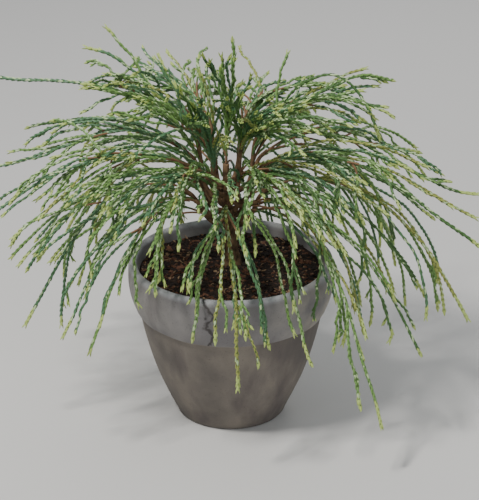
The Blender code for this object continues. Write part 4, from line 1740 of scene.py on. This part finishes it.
@dataclass
class Wood:
    """The trunk and boughs, with the shallow stringy ridges of their bark."""

    sides: int = 30
    ridges: int = 11
    ridge_height: float = 0.09
    ridge_share: float = 0.6
    ridge_sway: float = 2.5
    sway_scale: float = 70
    knot_scale: float = 160
    knot_turn: float = 1.5
    trunk_steps: int = 60
    trunk_sunk: float = 3 * MM
    trunk_past: float = 2 * MM
    trunk_seed: int = 3
    bough_points: int = 26
    aside: Vector = Vector((0.31, 0.95, 0.05)).freeze()

    def push(self, point: Vector, turn: float, outward: Vector, seed: float) -> float:
        """How far the bark stands out at a place, as a share of the limb's radius.

        Args:
            point: the limb's middle there.
            turn: the turn about the limb.
            outward: the direction out of the limb.
            seed: what makes the limb's ridges its own.

        Returns:
            The share, near 1.
        """
        sway = self.ridge_sway * noise.noise(point * self.sway_scale + Vector((seed, 0, 0)))
        fibre = math.sin(self.ridges * turn + sway)
        knot = noise.noise(point * self.knot_scale + outward * self.knot_turn + Vector((0, seed, 0)))
        return 1 + self.ridge_height * (self.ridge_share * fibre + knot)

    def tube(self, line: list[Vector], radii: list[float], seed: float) -> tuple[list, list]:
        """Makes a closed tube along a line, ridged along its length.

        Args:
            line: the tube's middle.
            radii: its radius at each point.
            seed: what makes its ridges its own.

        Returns:
            Its points and faces.
        """
        verts, faces, count = [], [], len(line)
        for number, (point, radius) in enumerate(zip(line, radii)):
            way = (line[min(number + 1, count - 1)] - line[max(number - 1, 0)]).normalized()
            side = way.cross(self.aside).normalized()
            lift = way.cross(side)
            for step in range(self.sides):
                turn = 2 * math.pi * step / self.sides
                outward = side * math.cos(turn) + lift * math.sin(turn)
                verts.append(point + outward * radius * self.push(point, turn, outward, seed))
            if number:
                a, b = (number - 1) * self.sides, number * self.sides
                for step in range(self.sides):
                    after = (step + 1) % self.sides
                    faces.append((a + step, a + after, b + after, b + step))
        faces.append(tuple(reversed(range(self.sides))))
        faces.append(tuple(range((count - 1) * self.sides, count * self.sides)))
        return verts, faces

    def trunk(self) -> tuple[list, list]:
        """Makes the trunk, its foot sunk in the mix and its tip run on into the top mass's stem.

        Returns:
            Its points and faces.
        """
        foot, top = SOIL_CROWN_HEIGHT - self.trunk_sunk, TRUNK_TOP_HEIGHT + self.trunk_past
        heights = [foot + (top - foot) * i / self.trunk_steps for i in range(self.trunk_steps + 1)]
        line = [trunk_line(max(height, SOIL_CROWN_HEIGHT)) for height in heights]
        for point, height in zip(line, heights):
            point.z = height
        radii = [trunk_radius(max(height, SOIL_CROWN_HEIGHT + GAP)) for height in heights]
        return self.tube(line, radii, self.trunk_seed)

    def bough(self, mass: Mass) -> tuple[list, list]:
        """Makes the bough of a mass, run on into the trunk and into the mass's stem.

        Args:
            mass: the mass.

        Returns:
            Its points and faces.
        """
        arch = mass.bough_arch()
        inner, outer = arch.along(0) * 2 * LEAD, arch.along(1) * 2 * LEAD
        line = [arch.at(0) - inner] + arch.points(self.bough_points) + [arch.at(1) + outer]
        last = len(line) - 1
        radii = [mix((BOUGH_RADIUS, BOUGH_TIP_RADIUS), i / last) for i in range(last + 1)]
        return self.tube(line, radii, mass.index + 10 * TIERS.index(mass.tier))

    def build(self) -> None:
        """Builds the trunk and every bough in place of their solids."""
        bark = BARK_FINISH.material()
        self.cover("trunk_bark", *self.trunk(), bark, ["trunk"])
        verts, faces = [], []
        masses = [Mass(tier, index) for tier in TIERS if tier is not TOP for index in range(tier.count)]
        for mass in masses:
            more, sides = self.bough(mass)
            faces += [tuple(number + len(verts) for number in face) for face in sides]
            verts += more
        self.cover("bough_bark", verts, faces, bark, [mass.bough_node() for mass in masses])

    @staticmethod
    def cover(name: str, verts: list, faces: list, bark: bpy.types.Material, nodes: list[str]) -> None:
        """Makes one bark piece and puts it in place of its solids.

        Args:
            name: the piece's name.
            verts: its points.
            faces: its faces.
            bark: its material.
            nodes: the solid nodes that it stands for.
        """
        made = new_mesh_object(name, verts, faces)
        smooth(made)
        made.data.materials.append(bark)
        attach(made, nodes)


@dataclass(frozen=True)
class Lamp:
    """One soft round light that looks at the plant."""

    name: str
    place: tuple[float, float, float]
    size: float
    power: float
    tint: tuple[float, float, float]


def turned_to(eye: Vector, target: Vector) -> Euler:
    """The rotation of a light or a camera that looks from one point at another."""
    return (target - eye).to_track_quat("-Z", "Y").to_euler()


@dataclass
class Studio:
    """A light grey floor, soft studio light, and the photo's camera."""

    floor_reach: float = 4
    lamps: tuple[Lamp, ...] = (
        Lamp("key", (-0.8, -0.7, 2.0), 0.3, 46, (1, 0.98, 0.95)),
        Lamp("fill", (1.3, -1.4, 0.9), 1.4, 8, (0.93, 0.96, 1)),
        Lamp("back", (0.5, 1.5, 1.4), 1.0, 9, (1, 1, 1)),
    )
    lit_height: float = 0.2
    sky: tuple[float, float, float] = (0.86, 0.9, 0.95)
    sky_strength: float = 0.42
    elevation: float = 24.5
    distance: float = 2.2
    lens: float = 150.6
    sensor: float = 36
    nearest: float = 0.05
    aside: float = 8.9 * MM
    above: float = 8.4 * MM

    def lay_floor(self) -> None:
        """Lays the floor."""
        corners = ((-1, -1), (1, -1), (1, 1), (-1, 1))
        verts = [(x * self.floor_reach, y * self.floor_reach, 0) for x, y in corners]
        floor = new_mesh_object("studio_floor", verts, [(0, 1, 2, 3)])
        floor.data.materials.append(FLOOR_FINISH.material())

    def light(self, lamp: Lamp) -> None:
        """Adds one lamp.

        Args:
            lamp: the lamp.
        """
        data = bpy.data.lights.new(lamp.name, "AREA")
        data.shape = "DISK"
        data.size = lamp.size
        data.energy = lamp.power
        data.color = lamp.tint
        made = link_object(lamp.name, data)
        made.location = lamp.place
        made.rotation_euler = turned_to(Vector(lamp.place), Vector((0, 0, self.lit_height)))

    def light_sky(self) -> None:
        """Sets the even light from all round."""
        world = bpy.data.worlds.new("studio")
        world.use_nodes = True
        background = world.node_tree.nodes["Background"]
        background.inputs["Color"].default_value = (*self.sky, 1)
        background.inputs["Strength"].default_value = self.sky_strength
        bpy.context.scene.world = world

    def set_camera(self) -> None:
        """Sets the camera at the photo's angle, aimed a little above and beside the rim's centre."""
        rise = math.radians(self.elevation)
        rim = Vector((0, 0, POT_HEIGHT))
        aim = rim + Vector((self.aside, math.sin(rise) * self.above, math.cos(rise) * self.above))
        eye = rim + Vector((0, -math.cos(rise), math.sin(rise))) * self.distance + (aim - rim)
        data = bpy.data.cameras.new("photo_camera")
        data.sensor_fit = "AUTO"
        data.sensor_width = self.sensor
        data.lens = self.lens
        data.clip_start = self.nearest
        made = link_object("photo_camera", data)
        made.location = eye
        made.rotation_euler = turned_to(eye, aim)
        bpy.context.scene.camera = made

    def build(self) -> None:
        """Sets the floor, the lights, the sky and the camera."""
        self.lay_floor()
        for lamp in self.lamps:
            self.light(lamp)
        self.light_sky()
        self.set_camera()


def main() -> None:
    """Builds every piece in order."""
    logging.basicConfig(level=logging.INFO, format="%(message)s")
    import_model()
    Pot().build()
    Soil().build()
    Wood().build()
    Crown().build()
    Studio().build()


if __name__ == "__main__":
    main()
